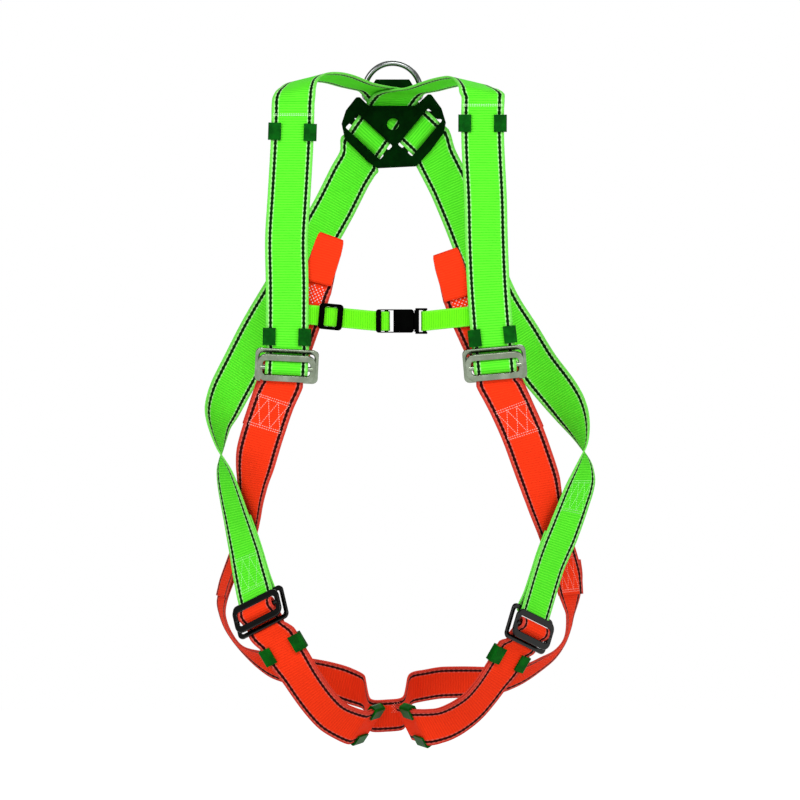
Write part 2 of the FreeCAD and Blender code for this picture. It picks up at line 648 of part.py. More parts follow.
def clip_female():
    y = CLIP.y
    z = CLIP.z
    body = box_between((FEMALE_LEFT, y - CLIP_HALF_DEEP, z - CLIP_HALF_HIGH),
                       (FEMALE_RIGHT, y + CLIP_HALF_DEEP, z + CLIP_HALF_HIGH))
    body = round_edges(body, 3.0, V(0, 1, 0))
    body = round_edges(body, 2.0, V(1, 0, 0))
    window_high = CHEST_WEBBING_WIDTH / 2 + 0.6
    window = box_between((-17.5, y - 9, z - window_high), (-4.8, y + 9, z + window_high))
    body = body.cut(window)
    way_in = box_between((FEMALE_LEFT - 1, y - 3.0, z - window_high),
                         (-17.0, y + 9, z + window_high))
    body = body.cut(way_in)
    bar = Part.makeCylinder(2.0, 2 * window_high + 1.0,
                            V(LEFT_BAR_X, y + CLIP_BAR_BACK, z - window_high - 0.5),
                            V(0, 0, 1))
    body = body.fuse(bar)
    cavity = box_between((CAVITY_LEFT, y - CAVITY_HALF_DEEP, z - CAVITY_HALF_HIGH),
                         (FEMALE_RIGHT + 1, y + CAVITY_HALF_DEEP, z + CAVITY_HALF_HIGH))
    side_way = box_between((-1.5, y - CAVITY_HALF_DEEP, z - CLIP_HALF_HIGH - 1),
                           (8.6, y + CAVITY_HALF_DEEP, z + CLIP_HALF_HIGH + 1))
    return body.cut(cavity).cut(side_way)


def clip_male():
    y = CLIP.y
    z = CLIP.z
    deep = CAVITY_HALF_DEEP - MALE_CLEARANCE
    base = box_between((FEMALE_RIGHT + 0.4, y - CLIP_HALF_DEEP, z - 11.4),
                       (22.0, y + CLIP_HALF_DEEP, z + 11.4))
    base = round_edges(base, 1.5, V(1, 0, 0))
    wings = []
    for sign in (-1, 1):
        low = min(sign * 11.2, sign * 13.4)
        wing = box_between((18.0, y - CLIP_HALF_DEEP + 1.0, z + low),
                           (30.6, y + CLIP_HALF_DEEP - 1.0, z + low + 2.2))
        wings.append(round_edges(wing, 0.8, V(0, 1, 0)))
    bar = Part.makeCylinder(2.0, 24.0, V(RIGHT_BAR_X, y, z - 12.0), V(0, 0, 1))
    tongue = box_between((CAVITY_LEFT + 1.5, y - deep, z - 2.2),
                         (FEMALE_RIGHT + 1.0, y + deep, z + 2.2))
    shoulder = box_between((PRONG_ROOT_X + 0.4, y - deep, z - 8.8),
                           (FEMALE_RIGHT + 1.0, y + deep, z + 8.8))
    return base.fuse(wings + [bar, tongue, shoulder]).removeSplitter()


def clip_prong(sign):
    """Spring arm of the clip, with the pad that is pressed to let it go."""
    y = CLIP.y
    z = CLIP.z
    deep = CAVITY_HALF_DEEP - MALE_CLEARANCE
    root_x = PRONG_ROOT_X - PRONG_ROOT_RADIUS
    points = [(root_x, PRONG_ROOT_Z + PRONG_ROOT_RADIUS),
              (root_x, PRONG_ROOT_Z - PRONG_ROOT_RADIUS), (-1.0, 5.6), (-1.0, 8.0),
              (0.2, 10.6), (2.0, 11.9), (6.4, 11.9), (8.0, 10.6), (8.2, 8.6)]
    wire = Part.makePolygon([V(px, y - deep, z + sign * pz)
                             for px, pz in points + points[:1]])
    arm = Part.Face(wire).extrude(V(0, 2 * deep, 0))
    root = Part.makeCylinder(PRONG_ROOT_RADIUS, 2 * deep,
                             V(root_x, y - deep, z + sign * PRONG_ROOT_Z), V(0, 1, 0))
    return arm.fuse(root).removeSplitter()


# ---------------------------------------------------------------- keepers
def keeper():
    """Open-fronted clip round two layers of webbing, in local u, v, w."""
    stack = 2 * WEBBING_THICKNESS + LAYER_GAP
    inner_u = WEBBING_WIDTH / 2 + KEEPER_CLEARANCE
    inner_w = stack / 2 + KEEPER_CLEARANCE
    outer_u = inner_u + KEEPER_WALL
    outer_w = inner_w + KEEPER_WALL
    half = KEEPER_LENGTH / 2
    outer = box_between((-outer_u, -half, -outer_w), (outer_u, half, outer_w))
    outer = round_edges(outer, 2.6, V(0, 1, 0))
    inner = box_between((-inner_u, -half - 1, -inner_w), (inner_u, half + 1, inner_w))
    inner = round_edges(inner, 0.8, V(0, 1, 0))
    gap = outer_u - KEEPER_LIP
    opening = box_between((-gap, -half - 1, 0), (gap, half + 1, outer_w + 1))
    return outer.cut(inner).cut(opening)


KEEPERS = {     # the strap each keeper rides on, and where along it the keeper sits
    "shoulder_left_upper": (FRONT_LEFT, "z", -56),
    "shoulder_left_lower": (FRONT_LEFT, "z", -269.3),
    "shoulder_right_upper": (FRONT_RIGHT, "z", -47),
    "shoulder_right_lower": (FRONT_RIGHT, "z", -268.8),
    "thigh_left_upper": (THIGH_LEFT, "z", -595),
    "thigh_left_lower": (THIGH_LEFT, "x", -32),
    "thigh_right_upper": (THIGH_RIGHT, "z", -605),
    "thigh_right_lower": (THIGH_RIGHT, "x", 18),
}


def keeper_seat(name):
    """Seat between the tail and the main layer at the keeper's place."""
    route, axis, value = KEEPERS[name]
    frames = smooth(route, 5.0)
    nearest = min(range(1, len(frames) - 1),
                  key=lambda k: abs(getattr(frames[k][0], axis) - value))
    seat = seat_on(frames, nearest)
    missing = value - getattr(seat.origin, axis)
    seat.origin = seat.origin + seat.v * (missing / getattr(seat.v, axis))
    seat.origin = seat.origin - seat.w * (LAYER_PITCH / 2)
    return seat


# ---------------------------------------------------------------- dorsal plate
PLATE_OUTLINE = [(-44, -16), (-55, -30), (-59.5, -44), (-56, -60), (-31, -85),
                 (-21, -91), (19, -89), (34, -73), (48, -54), (50.5, -43), (46, -28),
                 (35, -13), (31.5, -13), (18.5, -25.1), (-31, -25.1), (-40, -16)]
PLATE_CENTRE = (-5.2, -44.5)
SHIELD_OUTLINE = [(-31, -27), (17, -27), (24.5, -33), (-3.4, -67), (-34, -38.5)]


def slot_cutter(slots):
    """Two parallel slots, the strap's bar between them."""
    middle, lean, _ = slots
    side = across(lean, 0)
    square = V(-side.z, 0, side.x)
    outward = side if side.z > 0 else V() - side
    cutters = []
    for sign in (-1, 1):
        slot = Part.makeBox(SLOT_LENGTH, 20, SLOT_WIDTH,
                            V(-SLOT_LENGTH / 2, -10, -SLOT_WIDTH / 2))
        slot = round_edges(slot, SLOT_CORNER, V(0, 1, 0))
        slot.rotate(V(), V(0, 1, 0), -lean)
        centre = middle + square * (sign * SLOT_PITCH / 2) + outward * SLOT_SHIFT
        slot.translate(V(centre.x, PLATE_FRONT, centre.z))
        cutters.append(slot)
    return cutters


def dorsal_plate():
    front = PLATE_FRONT
    wire = Part.makePolygon([V(x, front, z) for x, z in PLATE_OUTLINE + PLATE_OUTLINE[:1]])
    panel = Part.Face(wire).extrude(V(0, PLATE_THICKNESS, 0))
    panel = round_edges(panel, 2.5, V(0, 1, 0))
    rim = [e for e in panel.Edges if e.BoundBox.YMax < front + 1e-6]
    panel = panel.makeFillet(PLATE_EDGE, rim)
    wire = Part.makePolygon([V(x, front - SHIELD_HEIGHT, z)
                             for x, z in SHIELD_OUTLINE + SHIELD_OUTLINE[:1]])
    shield = Part.Face(wire).extrude(V(0, SHIELD_HEIGHT + 0.5, 0))
    shield = round_edges(shield, 3.0, V(0, 1, 0))
    cx, cz = PLATE_CENTRE
    boss = Part.makeCylinder(BOSS_DIAMETER / 2, BOSS_HEIGHT + 0.5,
                             V(cx, front - BOSS_HEIGHT, cz), V(0, 1, 0))
    rib = box_between((-29, front - RIB_HEIGHT, -25.1 - RIB_WIDTH),
                      (16, front + 0.5, -25.1))
    panel = panel.fuse([shield, boss, rib])
    hole = Part.makeCylinder(BOSS_HOLE_DIAMETER / 2, 20, V(cx, front - 5, cz), V(0, 1, 0))
    panel = panel.cut([hole] + slot_cutter(SLOTS_RIGHT) + slot_cutter(SLOTS_LEFT))
    arm_back = BRIDGE_FRONT + BRIDGE_ARM_THICKNESS
    arm = box_between((-54.5, BRIDGE_FRONT, -38), (45.8, arm_back, -30.5))
    ears = [box_between((-54.5, front + 1, -40), (-48.5, arm_back, -30.5)),
            box_between((40.5, front + 1, -39), (45.8, arm_back, -30.5))]
    left = D_CENTRE_X - BRIDGE_HALF_WIDTH
    right = D_CENTRE_X + BRIDGE_HALF_WIDTH
    depth = D_BAR_Y + D_WIRE_DIAMETER / 2 + 3.0
    outline = [(left, -36), (left, -5), (left + 5, BRIDGE_TOP), (right - 5, BRIDGE_TOP),
               (right, -5), (right, -36)]
    wire = Part.makePolygon([V(x, BRIDGE_FRONT, z) for x, z in outline + outline[:1]])
    block = Part.Face(wire).extrude(V(0, depth - BRIDGE_FRONT, 0))
    block = round_edges(block, 2.0, V(1, 0, 0))
    shape = panel.fuse([arm, block] + ears)
    bore = Part.makeCylinder(D_WIRE_DIAMETER / 2 + D_BORE_CLEARANCE, 2 * BRIDGE_HALF_WIDTH + 20,
                             V(left - 10, D_BAR_Y, D_BAR_Z), V(1, 0, 0))
    return shape.cut(bore).removeSplitter()


def d_ring():
    """Round wire bent to a D: straight bar, two short legs and a half circle."""
    radius = (D_WIDTH - D_WIRE_DIAMETER) / 2
    corner = 4.0
    y = D_BAR_Y
    top = D_BAR_Z + corner + D_LEG
    left = D_CENTRE_X - radius
    right = D_CENTRE_X + radius
    lift = corner * (1 - math.sqrt(0.5))
    path = Part.Wire([
        Part.LineSegment(V(D_CENTRE_X, y, D_BAR_Z), V(right - corner, y, D_BAR_Z)).toShape(),
        Part.Arc(V(right - corner, y, D_BAR_Z), V(right - lift, y, D_BAR_Z + lift),
                 V(right, y, D_BAR_Z + corner)).toShape(),
        Part.LineSegment(V(right, y, D_BAR_Z + corner), V(right, y, top)).toShape(),
        Part.Arc(V(right, y, top), V(D_CENTRE_X, y, top + radius), V(left, y, top)).toShape(),
        Part.LineSegment(V(left, y, top), V(left, y, D_BAR_Z + corner)).toShape(),
        Part.Arc(V(left, y, D_BAR_Z + corner), V(left + lift, y, D_BAR_Z + lift),
                 V(left + corner, y, D_BAR_Z)).toShape(),
        Part.LineSegment(V(left + corner, y, D_BAR_Z), V(D_CENTRE_X, y, D_BAR_Z)).toShape()])
    section = Part.Wire(Part.Circle(V(D_CENTRE_X, y, D_BAR_Z), V(1, 0, 0),
                                    D_WIRE_DIAMETER / 2).toShape())
    return path.makePipeShell([section], True, True)


# ---------------------------------------------------------------- write the nodes
def make_all():
    nodes = {}
    left = long_webbing(FRONT_LEFT, OVER_LEFT_SHOULDER, SLOTS_RIGHT, CROSSING_LIFT, SIDE_RIGHT,
                        SEATS["chest_left"], SEATS["leg_right"])
    right = long_webbing(FRONT_RIGHT, OVER_RIGHT_SHOULDER, SLOTS_LEFT, 0.0, SIDE_LEFT,
                         SEATS["chest_right"], SEATS["leg_left"])
    nodes["webbing_left_shoulder"] = ribbon(left)
    nodes["webbing_right_shoulder"] = ribbon(right)
    nodes["chest_webbing_left"] = ribbon(
        loop_over(SEATS["chest_left"], CHEST_LEFT, CHEST_LOOP_SEWN))
    nodes["chest_webbing_right"] = ribbon(
        loop_over(SEATS["chest_right"], CHEST_RIGHT, CHEST_LOOP_SEWN))
    nodes["sternal_loop_left"] = ribbon(*sternal_loop(STERNAL_LEFT, -84, -213, -14))
    nodes["sternal_loop_right"] = ribbon(*sternal_loop(STERNAL_RIGHT, 63, -229, 16))
    nodes["seat_strap"] = ribbon(smooth(SEAT_STRAP))
    thigh_left = thigh_strap(SEATS["leg_left"], THIGH_LEFT)
    thigh_right = thigh_strap(SEATS["leg_right"], THIGH_RIGHT)
    nodes["thigh_strap_left"] = ribbon(thigh_left)
    nodes["thigh_strap_right"] = ribbon(thigh_right)
    nodes["chest_strap_left"] = chest_strap_left()
    nodes["chest_strap_right"] = chest_strap_right()
    nodes["chest_strap_slider"] = slider()
    nodes["chest_clip_female"] = clip_female()
    nodes["chest_clip_male"] = clip_male()
    nodes["chest_clip_upper_prong"] = clip_prong(1)
    nodes["chest_clip_lower_prong"] = clip_prong(-1)
    for name, seat in SEATS.items():
        nodes[name + "_large_frame"] = seat.place(large_frame())
        nodes[name + "_adjuster"] = seat.place(adjuster_frame())
    nodes["dorsal_plate"] = dorsal_plate()
    nodes["d_ring"] = d_ring()
    for name in KEEPERS:
        nodes["keeper_" + name] = keeper_seat(name).place(keeper())
    return nodes


os.makedirs("parts", exist_ok=True)
for node, shape in make_all().items():
    print(node, shape.isValid(), len(shape.Solids), round(shape.Volume))
    shape.exportStep("parts/" + node + ".step")
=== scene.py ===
# %% [markdown]
# A full-body safety harness, hanging upright with every strap buckled.
# The rigid pieces - buckles, keepers, dorsal plate, D-ring and chest clip - come from
# the CAD model as they are, and get their finishes here. The webbing is soft: the CAD
# model only fills its space, so each strap is woven again here as a thin band that
# follows the same route, with its ribs, tracer lines, hems and stitching.

# %% Load the fixed frame
import json
import math
import random
from bisect import bisect_left

import bpy
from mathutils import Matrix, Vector


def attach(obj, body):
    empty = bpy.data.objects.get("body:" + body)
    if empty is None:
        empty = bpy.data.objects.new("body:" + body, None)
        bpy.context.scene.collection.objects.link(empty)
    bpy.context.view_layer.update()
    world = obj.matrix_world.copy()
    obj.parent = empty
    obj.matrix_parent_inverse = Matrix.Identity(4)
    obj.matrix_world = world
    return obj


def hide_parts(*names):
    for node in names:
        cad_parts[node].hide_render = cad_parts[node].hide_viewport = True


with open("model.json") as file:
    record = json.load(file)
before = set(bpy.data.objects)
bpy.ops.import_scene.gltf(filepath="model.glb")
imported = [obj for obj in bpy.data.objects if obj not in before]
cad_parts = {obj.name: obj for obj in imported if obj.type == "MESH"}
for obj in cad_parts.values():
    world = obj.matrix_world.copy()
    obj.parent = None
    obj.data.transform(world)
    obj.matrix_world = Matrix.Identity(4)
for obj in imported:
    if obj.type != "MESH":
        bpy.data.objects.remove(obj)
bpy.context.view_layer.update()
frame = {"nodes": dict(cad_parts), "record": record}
HARNESS = "harness"
MM = 0.001

# %% [markdown]
# The camera stands far in front of the chest, level with the middle of the harness,
# behind a long lens. From there depth hardly changes the size of things, so straps
# at the front and at the back look equally wide.

# %% Camera
CAMERA_DISTANCE = 14.0
VIEW_WIDTH = 0.8376           # what the camera takes in, level with the harness
VIEW_CENTRE_X = 0.0021
VIEW_CENTRE_Z = -0.335
SENSOR_WIDTH = 36.0


def put_in_scene(name, data):
    """A new object that holds the data."""
    obj = bpy.data.objects.new(name, data)
    bpy.context.scene.collection.objects.link(obj)
    return obj


camera_data = bpy.data.cameras.new("camera")
camera_data.sensor_width = SENSOR_WIDTH
camera_data.lens = SENSOR_WIDTH * CAMERA_DISTANCE / VIEW_WIDTH
camera_data.clip_end = 60.0
camera = put_in_scene("camera", camera_data)
camera.location = (VIEW_CENTRE_X, -CAMERA_DISTANCE, VIEW_CENTRE_Z)
camera.rotation_euler = (math.radians(90), 0, 0)
bpy.context.scene.camera = camera
bpy.context.scene.view_settings.view_transform = "Standard"
print("lens", round(camera_data.lens), "mm")


# %% [markdown]
# Every finish is a tree of nodes. Three helpers keep the trees readable: one turns a
# written colour into the values that shaders take, one starts an empty material, and
# one adds a node and links its inputs.

# %% Node helpers
def linear(hex_colour):
    """An sRGB hex colour as the linear RGBA that shaders take."""
    values = []
    for k in (1, 3, 5):
        c = int(hex_colour[k:k + 2], 16) / 255
        values.append(c / 12.92 if c <= 0.04045 else ((c + 0.055) / 1.055) ** 2.4)
    return (*values, 1.0)


def new_material(name):
    """A material with an empty node tree."""
    material = bpy.data.materials.new(name)
    material.use_nodes = True
    material.node_tree.nodes.clear()
    return material


def add(tree, kind, inputs=None, **settings):
    """Adds one node with its settings. An input is a value, a socket to link from,
    or a node, which stands for its first output."""
    node = tree.nodes.new(kind)
    for key, value in settings.items():
        setattr(node, key, value)
    for key, value in (inputs or {}).items():
        if isinstance(value, bpy.types.Node):
            value = value.outputs[0]
        if isinstance(value, bpy.types.NodeSocket):
            tree.links.new(value, node.inputs[key])
        else:
            node.inputs[key].default_value = value
    return node


print("white is", linear("#FFFFFF"))

# %% [markdown]
# The harness hangs over a pale floor under a pale sky. Both are white to the camera;
# the floor still takes the harness's shadow, and the sky lights it dimly. More light
# could turn the floor white too, but would wash out the straps, so the floor glows
# for the camera and for mirrors only.

# %% Floor and sky
FLOOR_Z = -0.80
FLOOR_SIZE = 12.0
FLOOR_GLOW = 0.70
SKY_LIGHT = 0.40              # on the harness
SKY_SEEN = 1.0                # white, where the camera looks straight at it


def pale_surface():
    """White where the camera or a mirror sees it, and a matt surface for shadows."""
    material = new_material("pale_painted_board")
    tree = material.node_tree
    matt = add(tree, "ShaderNodeBsdfDiffuse", {"Color": (0.8, 0.8, 0.8, 1)})
    glow = add(tree, "ShaderNodeEmission", {"Color": (1, 1, 1, 1),
                                            "Strength": FLOOR_GLOW})
    both = add(tree, "ShaderNodeAddShader", {0: matt, 1: glow})
    path = add(tree, "ShaderNodeLightPath")
    seen = add(tree, "ShaderNodeMath", {0: path.outputs["Is Camera Ray"],
                                        1: path.outputs["Is Glossy Ray"]},
               operation="MAXIMUM")
    choice = add(tree, "ShaderNodeMixShader", {0: seen, 1: matt, 2: both})
    add(tree, "ShaderNodeOutputMaterial", {"Surface": choice})
    return material


edge = FLOOR_SIZE / 2
floor_mesh = bpy.data.meshes.new("floor")
floor_mesh.from_pydata([(-edge, -edge, FLOOR_Z), (edge, -edge, FLOOR_Z),
                        (edge, edge, FLOOR_Z), (-edge, edge, FLOOR_Z)],
                       [], [(0, 1, 2, 3)])
floor_mesh.materials.append(pale_surface())
floor = put_in_scene("floor", floor_mesh)

sky = bpy.data.worlds.new("sky")
sky.use_nodes = True
seen = add(sky.node_tree, "ShaderNodeLightPath").outputs["Is Camera Ray"]
level = add(sky.node_tree, "ShaderNodeMapRange",
            {"Value": seen, "To Min": SKY_LIGHT, "To Max": SKY_SEEN})
background = sky.node_tree.nodes["Background"]
background.inputs["Color"].default_value = (1, 1, 1, 1)
sky.node_tree.links.new(level.outputs[0], background.inputs["Strength"])
bpy.context.scene.world = sky
print("stage: a floor at", FLOOR_Z, "m and a sky")

# %% [markdown]
# Five soft lamps light the harness: a key from the upper left, a fill from the right,
# one from above the camera, which keeps the straps evenly lit, a weaker one from
# behind, and a small one beside the camera, which draws a bright line along round
# bars. Each is a disk turned to the middle of the harness.

# %% Lamps
HARNESS_MIDDLE = Vector((0, 0, -0.35))
LAMPS = (                     # name, place, size in metres, watts
    ("key", (-1.6, -2.6, 1.0), 1.6, 35),
    ("fill", (2.2, -2.2, 0.1), 1.8, 22),
    ("front", (0.3, -3.6, 2.0), 1.6, 58),
    ("behind", (0.4, 1.9, 1.3), 1.4, 19),
    ("beside camera", (0.05, -5.0, -0.25), 0.6, 3))
for name, location, size, watts in LAMPS:
    light = bpy.data.lights.new(name, "AREA")
    light.shape = "DISK"
    light.size = size
    light.energy = watts
    lamp = put_in_scene(name, light)
    lamp.location = location
    aim = HARNESS_MIDDLE - Vector(location)
    lamp.rotation_euler = aim.to_track_quat("-Z", "Y").to_euler()
print("lamps:", len(LAMPS))

# %% [markdown]
# Webbing is polyester woven on a narrow loom. Seen close, the weft makes a row of
# ribs across the strap, and the warp makes fine threads along it. Two black tracer
# yarns run near the edges with pale picks beside them, and outside them the selvedge
# is a smoother, paler band. A plain colour with a noise over it would look like felt,
# so each of these is drawn from its own distance. The pattern follows the strap
# through every turn, so it reads the strap's own UV map: U is the distance across
# from the middle and V the distance along, both in metres.

# %% Sizes of the weave
RIB_PITCH = 2.7 * MM          # two weft picks, drawn as one rib so that they show
RIB_WANDER = 0.9 * MM         # how far a rib strays along the strap
WARP_PITCH = 1.3 * MM
WARP_RELIEF = 0.12            # of a warp thread, where a rib's is 1
FIBRE_RELIEF = 0.3
SOFT = 0.25 * MM              # width over which one yarn gives way to the next
WEAR_PATCHES = 55.0           # in a metre, so 18 mm each
FIBRES = 900.0                # 1.1 mm each, as real ones are too fine to show
SLOW_WAVES = 16.0             # 60 mm each
SPECK = 0.22                  # how much lighter or darker a single fibre is
SELVEDGE_SHARE = 0.8          # of its own colour in the selvedge
print("ribs in a metre:", round(1 / RIB_PITCH), "threads:", round(1 / WARP_PITCH))


# %% Ribs, fibres and patches of wear
def weave_pattern(tree, rib):
    """Nodes that colour and relief share: the place on the strap, the distance from
    its middle line, patches, fibres and the ridge of each rib, from 0 to 1."""
    uv = add(tree, "ShaderNodeUVMap", uv_map="strap")
    axes = add(tree, "ShaderNodeSeparateXYZ", {0: uv})
    off = add(tree, "ShaderNodeMath", {0: axes.outputs[0]}, operation="ABSOLUTE")
    patches = add(tree, "ShaderNodeTexNoise", {"Vector": uv, "Scale": WEAR_PATCHES,
                                               "Detail": 3.0, "Roughness": 0.6})
    fibres = add(tree, "ShaderNodeTexNoise", {"Vector": uv, "Scale": FIBRES,
                                              "Detail": 2.0, "Roughness": 0.7})
    # a wave along the strap that wanders a little, as a beaten-up weft does
    along = add(tree, "ShaderNodeMath",
                {0: patches, 1: RIB_WANDER, 2: axes.outputs[1]},
                operation="MULTIPLY_ADD")
    turns = add(tree, "ShaderNodeMath", {0: along, 1: 2 * math.pi / rib},
                operation="MULTIPLY")
    wave = add(tree, "ShaderNodeMath", {0: turns}, operation="SINE")
    ridge = add(tree, "ShaderNodeMapRange", {"Value": wave, "From Min": -1.0},
                interpolation_type="SMOOTHSTEP")
    return uv, axes, off, patches, fibres, ridge


def weave_colour(tree, off, patches, fibres, ridge, selvedge_from, front, groove_shade_and_wear, edge):
    """Grooves darker than ribs in painted shade, single fibres uneven, worn patches
    duller, and the selvedge in its own colour."""
    speck = add(tree, "ShaderNodeMapRange", {"Value": fibres, "From Min": 0.35,
                                             "From Max": 0.65, "To Min": -SPECK,
                                             "To Max": SPECK})
    raised = add(tree, "ShaderNodeMath", {0: ridge, 1: speck}, operation="ADD",
                 use_clamp=True)
    # painted shade: the grooves between the ribs take the darker second colour, as if
    # shadow darkened them
    field = add(tree, "ShaderNodeMix", {"Factor": raised, "A": linear(groove_shade_and_wear),
                                        "B": linear(front)}, data_type="RGBA")
    wear = add(tree, "ShaderNodeMapRange", {"Value": patches, "From Min": 0.40,
                                            "From Max": 0.75, "To Max": 0.30})
    handled = add(tree, "ShaderNodeMix", {"Factor": wear, "A": field.outputs["Result"],
                                          "B": linear(groove_shade_and_wear)}, data_type="RGBA")
    selvedge = add(tree, "ShaderNodeMapRange",
                   {"Value": off, "From Min": selvedge_from - SOFT,
                    "From Max": selvedge_from + SOFT}, interpolation_type="SMOOTHSTEP")
    share = add(tree, "ShaderNodeMath", {0: selvedge, 1: SELVEDGE_SHARE},
                operation="MULTIPLY")
    return add(tree, "ShaderNodeMix", {"Factor": share, "A": handled.outputs["Result"],
                                       "B": linear(edge)}, data_type="RGBA")


def weave_relief(tree, axes, fibres, ridge):
    """Height of the ribs, the warp threads over them and the fibres."""
    threads = add(tree, "ShaderNodeMath",
                  {0: axes.outputs[0], 1: 2 * math.pi / WARP_PITCH},
                  operation="MULTIPLY")
    warp = add(tree, "ShaderNodeMath", {0: threads}, operation="SINE")
    woven = add(tree, "ShaderNodeMath", {0: warp, 1: WARP_RELIEF, 2: ridge},
                operation="MULTIPLY_ADD")
    return add(tree, "ShaderNodeMath", {0: fibres, 1: FIBRE_RELIEF, 2: woven},
               operation="MULTIPLY_ADD")


print("one rib wanders up to", RIB_WANDER / MM, "mm")

# %% [markdown]
# A tracer yarn floats over a few picks and dives under the next, so it reads as a row
# of teeth: wide where it is over, narrow where it is under. On both sides of it lie
# pale picks, brightest between the teeth. The yarn is drawn from its distance to
# its own middle line, and its width swings with the distance along the strap.

# %% Tracer yarns
TRACER_PLACE = 17.3 * MM      # from the middle of the strap
TRACER_WIDTH = 3.0 * MM
TRACER_STITCH = 5.2 * MM      # one over-and-under of the yarn
TRACER_SWING = 0.22 * MM      # how much wider it is on each side where it is over
TRACER_SUNK = -0.35           # its relief, where a rib's is 1
PALE_PICKS = 1.0 * MM         # width of the pale line on either side
PALE_EDGE = TRACER_WIDTH / 2 + PALE_PICKS


def tracer_yarns(tree, axes, off, ground, relief, pale, tracer):
    """Both tracers and their pale picks, over the colour and the relief so far."""
    steps = add(tree, "ShaderNodeMath",
                {0: axes.outputs[1], 1: 2 * math.pi / TRACER_STITCH},
                operation="MULTIPLY")
    tooth = add(tree, "ShaderNodeMath", {0: steps}, operation="SINE")
    aside = add(tree, "ShaderNodeMath", {0: off, 1: TRACER_PLACE},
                operation="SUBTRACT")
    middle = add(tree, "ShaderNodeMath", {0: aside}, operation="ABSOLUTE")
    reach = add(tree, "ShaderNodeMath", {0: tooth, 1: TRACER_SWING,
                                         2: TRACER_WIDTH / 2},
                operation="MULTIPLY_ADD")
    inside = add(tree, "ShaderNodeMath", {0: reach, 1: middle}, operation="SUBTRACT")
    mask = add(tree, "ShaderNodeMapRange", {"Value": inside, "From Min": -SOFT,
                                            "From Max": SOFT},
               interpolation_type="SMOOTHSTEP")
    rim = add(tree, "ShaderNodeMapRange", {"Value": middle,
                                           "From Min": PALE_EDGE + SOFT,
                                           "From Max": PALE_EDGE - SOFT},
              interpolation_type="SMOOTHSTEP")
    picks = add(tree, "ShaderNodeMapRange", {"Value": tooth, "From Min": 0.6,
                                             "From Max": -0.8, "To Min": 0.30,
                                             "To Max": 0.90})
    pale_share = add(tree, "ShaderNodeMath", {0: rim, 1: picks}, operation="MULTIPLY")
    lit = add(tree, "ShaderNodeMix", {"Factor": pale_share,
                                      "A": ground.outputs["Result"],
                                      "B": linear(pale)}, data_type="RGBA")
    colour = add(tree, "ShaderNodeMix", {"Factor": mask, "A": lit.outputs["Result"],
                                         "B": linear(tracer)}, data_type="RGBA")
    height = add(tree, "ShaderNodeMath", {0: mask, 1: TRACER_SUNK, 2: relief},
                 operation="MULTIPLY_ADD")
    return colour, height


print("tracers", 2 * TRACER_PLACE / MM, "mm apart")


# %% Webbing material
def webbing(name, front, groove_shade_and_wear, edge, pale=None, tracer=None,
            selvedge_from=TRACER_PLACE + TRACER_WIDTH / 2, rib=RIB_PITCH):
    """Woven polyester webbing: front is the colour of the ribs; the second colour is
    the painted shade of the grooves, which worn patches also take; edge is the
    selvedge's, tracer that of the two marker yarns, where it has them, and pale that
    of the picks beside them."""
    material = new_material(name)
    tree = material.node_tree
    uv, axes, off, patches, fibres, ridge = weave_pattern(tree, rib)
    colour = weave_colour(tree, off, patches, fibres, ridge, selvedge_from, front,
                          groove_shade_and_wear, edge)
    height = weave_relief(tree, axes, fibres, ridge)
    if tracer:
        colour, height = tracer_yarns(tree, axes, off, colour, height, pale, tracer)
    bump = add(tree, "ShaderNodeBump", {"Height": height, "Strength": 0.40,
                                        "Distance": 0.40 * MM})
    waves = add(tree, "ShaderNodeTexNoise", {"Vector": uv, "Scale": SLOW_WAVES,
                                             "Detail": 1.0})
    soft = add(tree, "ShaderNodeBump", {"Height": waves, "Strength": 0.35,
                                        "Distance": 3.0 * MM, "Normal": bump})
    # woven yarn scatters light: dull, with hardly a sheen
    shader = add(tree, "ShaderNodeBsdfPrincipled",
                 {"Base Color": colour.outputs["Result"], "Roughness": 0.80,
                  "Specular IOR Level": 0.08, "Normal": soft})
    add(tree, "ShaderNodeOutputMaterial", {"Surface": shader})
    return material


# the second colour of each webbing is the painted shade of its grooves
green = webbing("woven_polyester_green", "#68F732", "#4BDF22", "#78DE58", "#B4EFA0",
                "#001A02")
orange = webbing("woven_polyester_orange", "#FC3A12", "#EE320E", "#C03C30", "#D8665A",
                 "#250202")
chest_green = webbing("woven_polyester_light_green", "#70F41A", "#5BDD12", "#78EE34",
                      selvedge_from=8.5 * MM, rib=2.4 * MM)
print("webbing materials:", green.name, orange.name, chest_green.name)


# %% [markdown]
# A strap is a path with a facing. Each station on it is a point and the direction of
# the strap's width there, so a strap can run, twist round a hip and turn through a
# buckle with one kind of description. The stations are in millimetres, in the CAD
# model's own frame: X to the right, Y away from the viewer, Z up. They are turned
# into a smooth run by a Hermite curve, which passes through every one of them. A
# frame of a strap is any point of it, given or worked out, with its width direction.

# %% Stations and smooth runs
ROUTE_STEP = 14.0             # mm between the points of a smooth run


def across(lean, turn):
    """Direction of a strap's width: lean tips its right end up, turn brings that
    end towards the viewer. Both are in degrees."""
    a, b = math.radians(lean), math.radians(turn)
    return Vector((math.cos(b) * math.cos(a), -math.sin(b), math.cos(b) * math.sin(a)))


def station(x, y, z, lean, turn):
    return Vector((x, y, z)), across(lean, turn)


def stations(*rows):
    """Stations from rows of X, Y, Z, lean and turn."""
    return [station(*row) for row in rows]


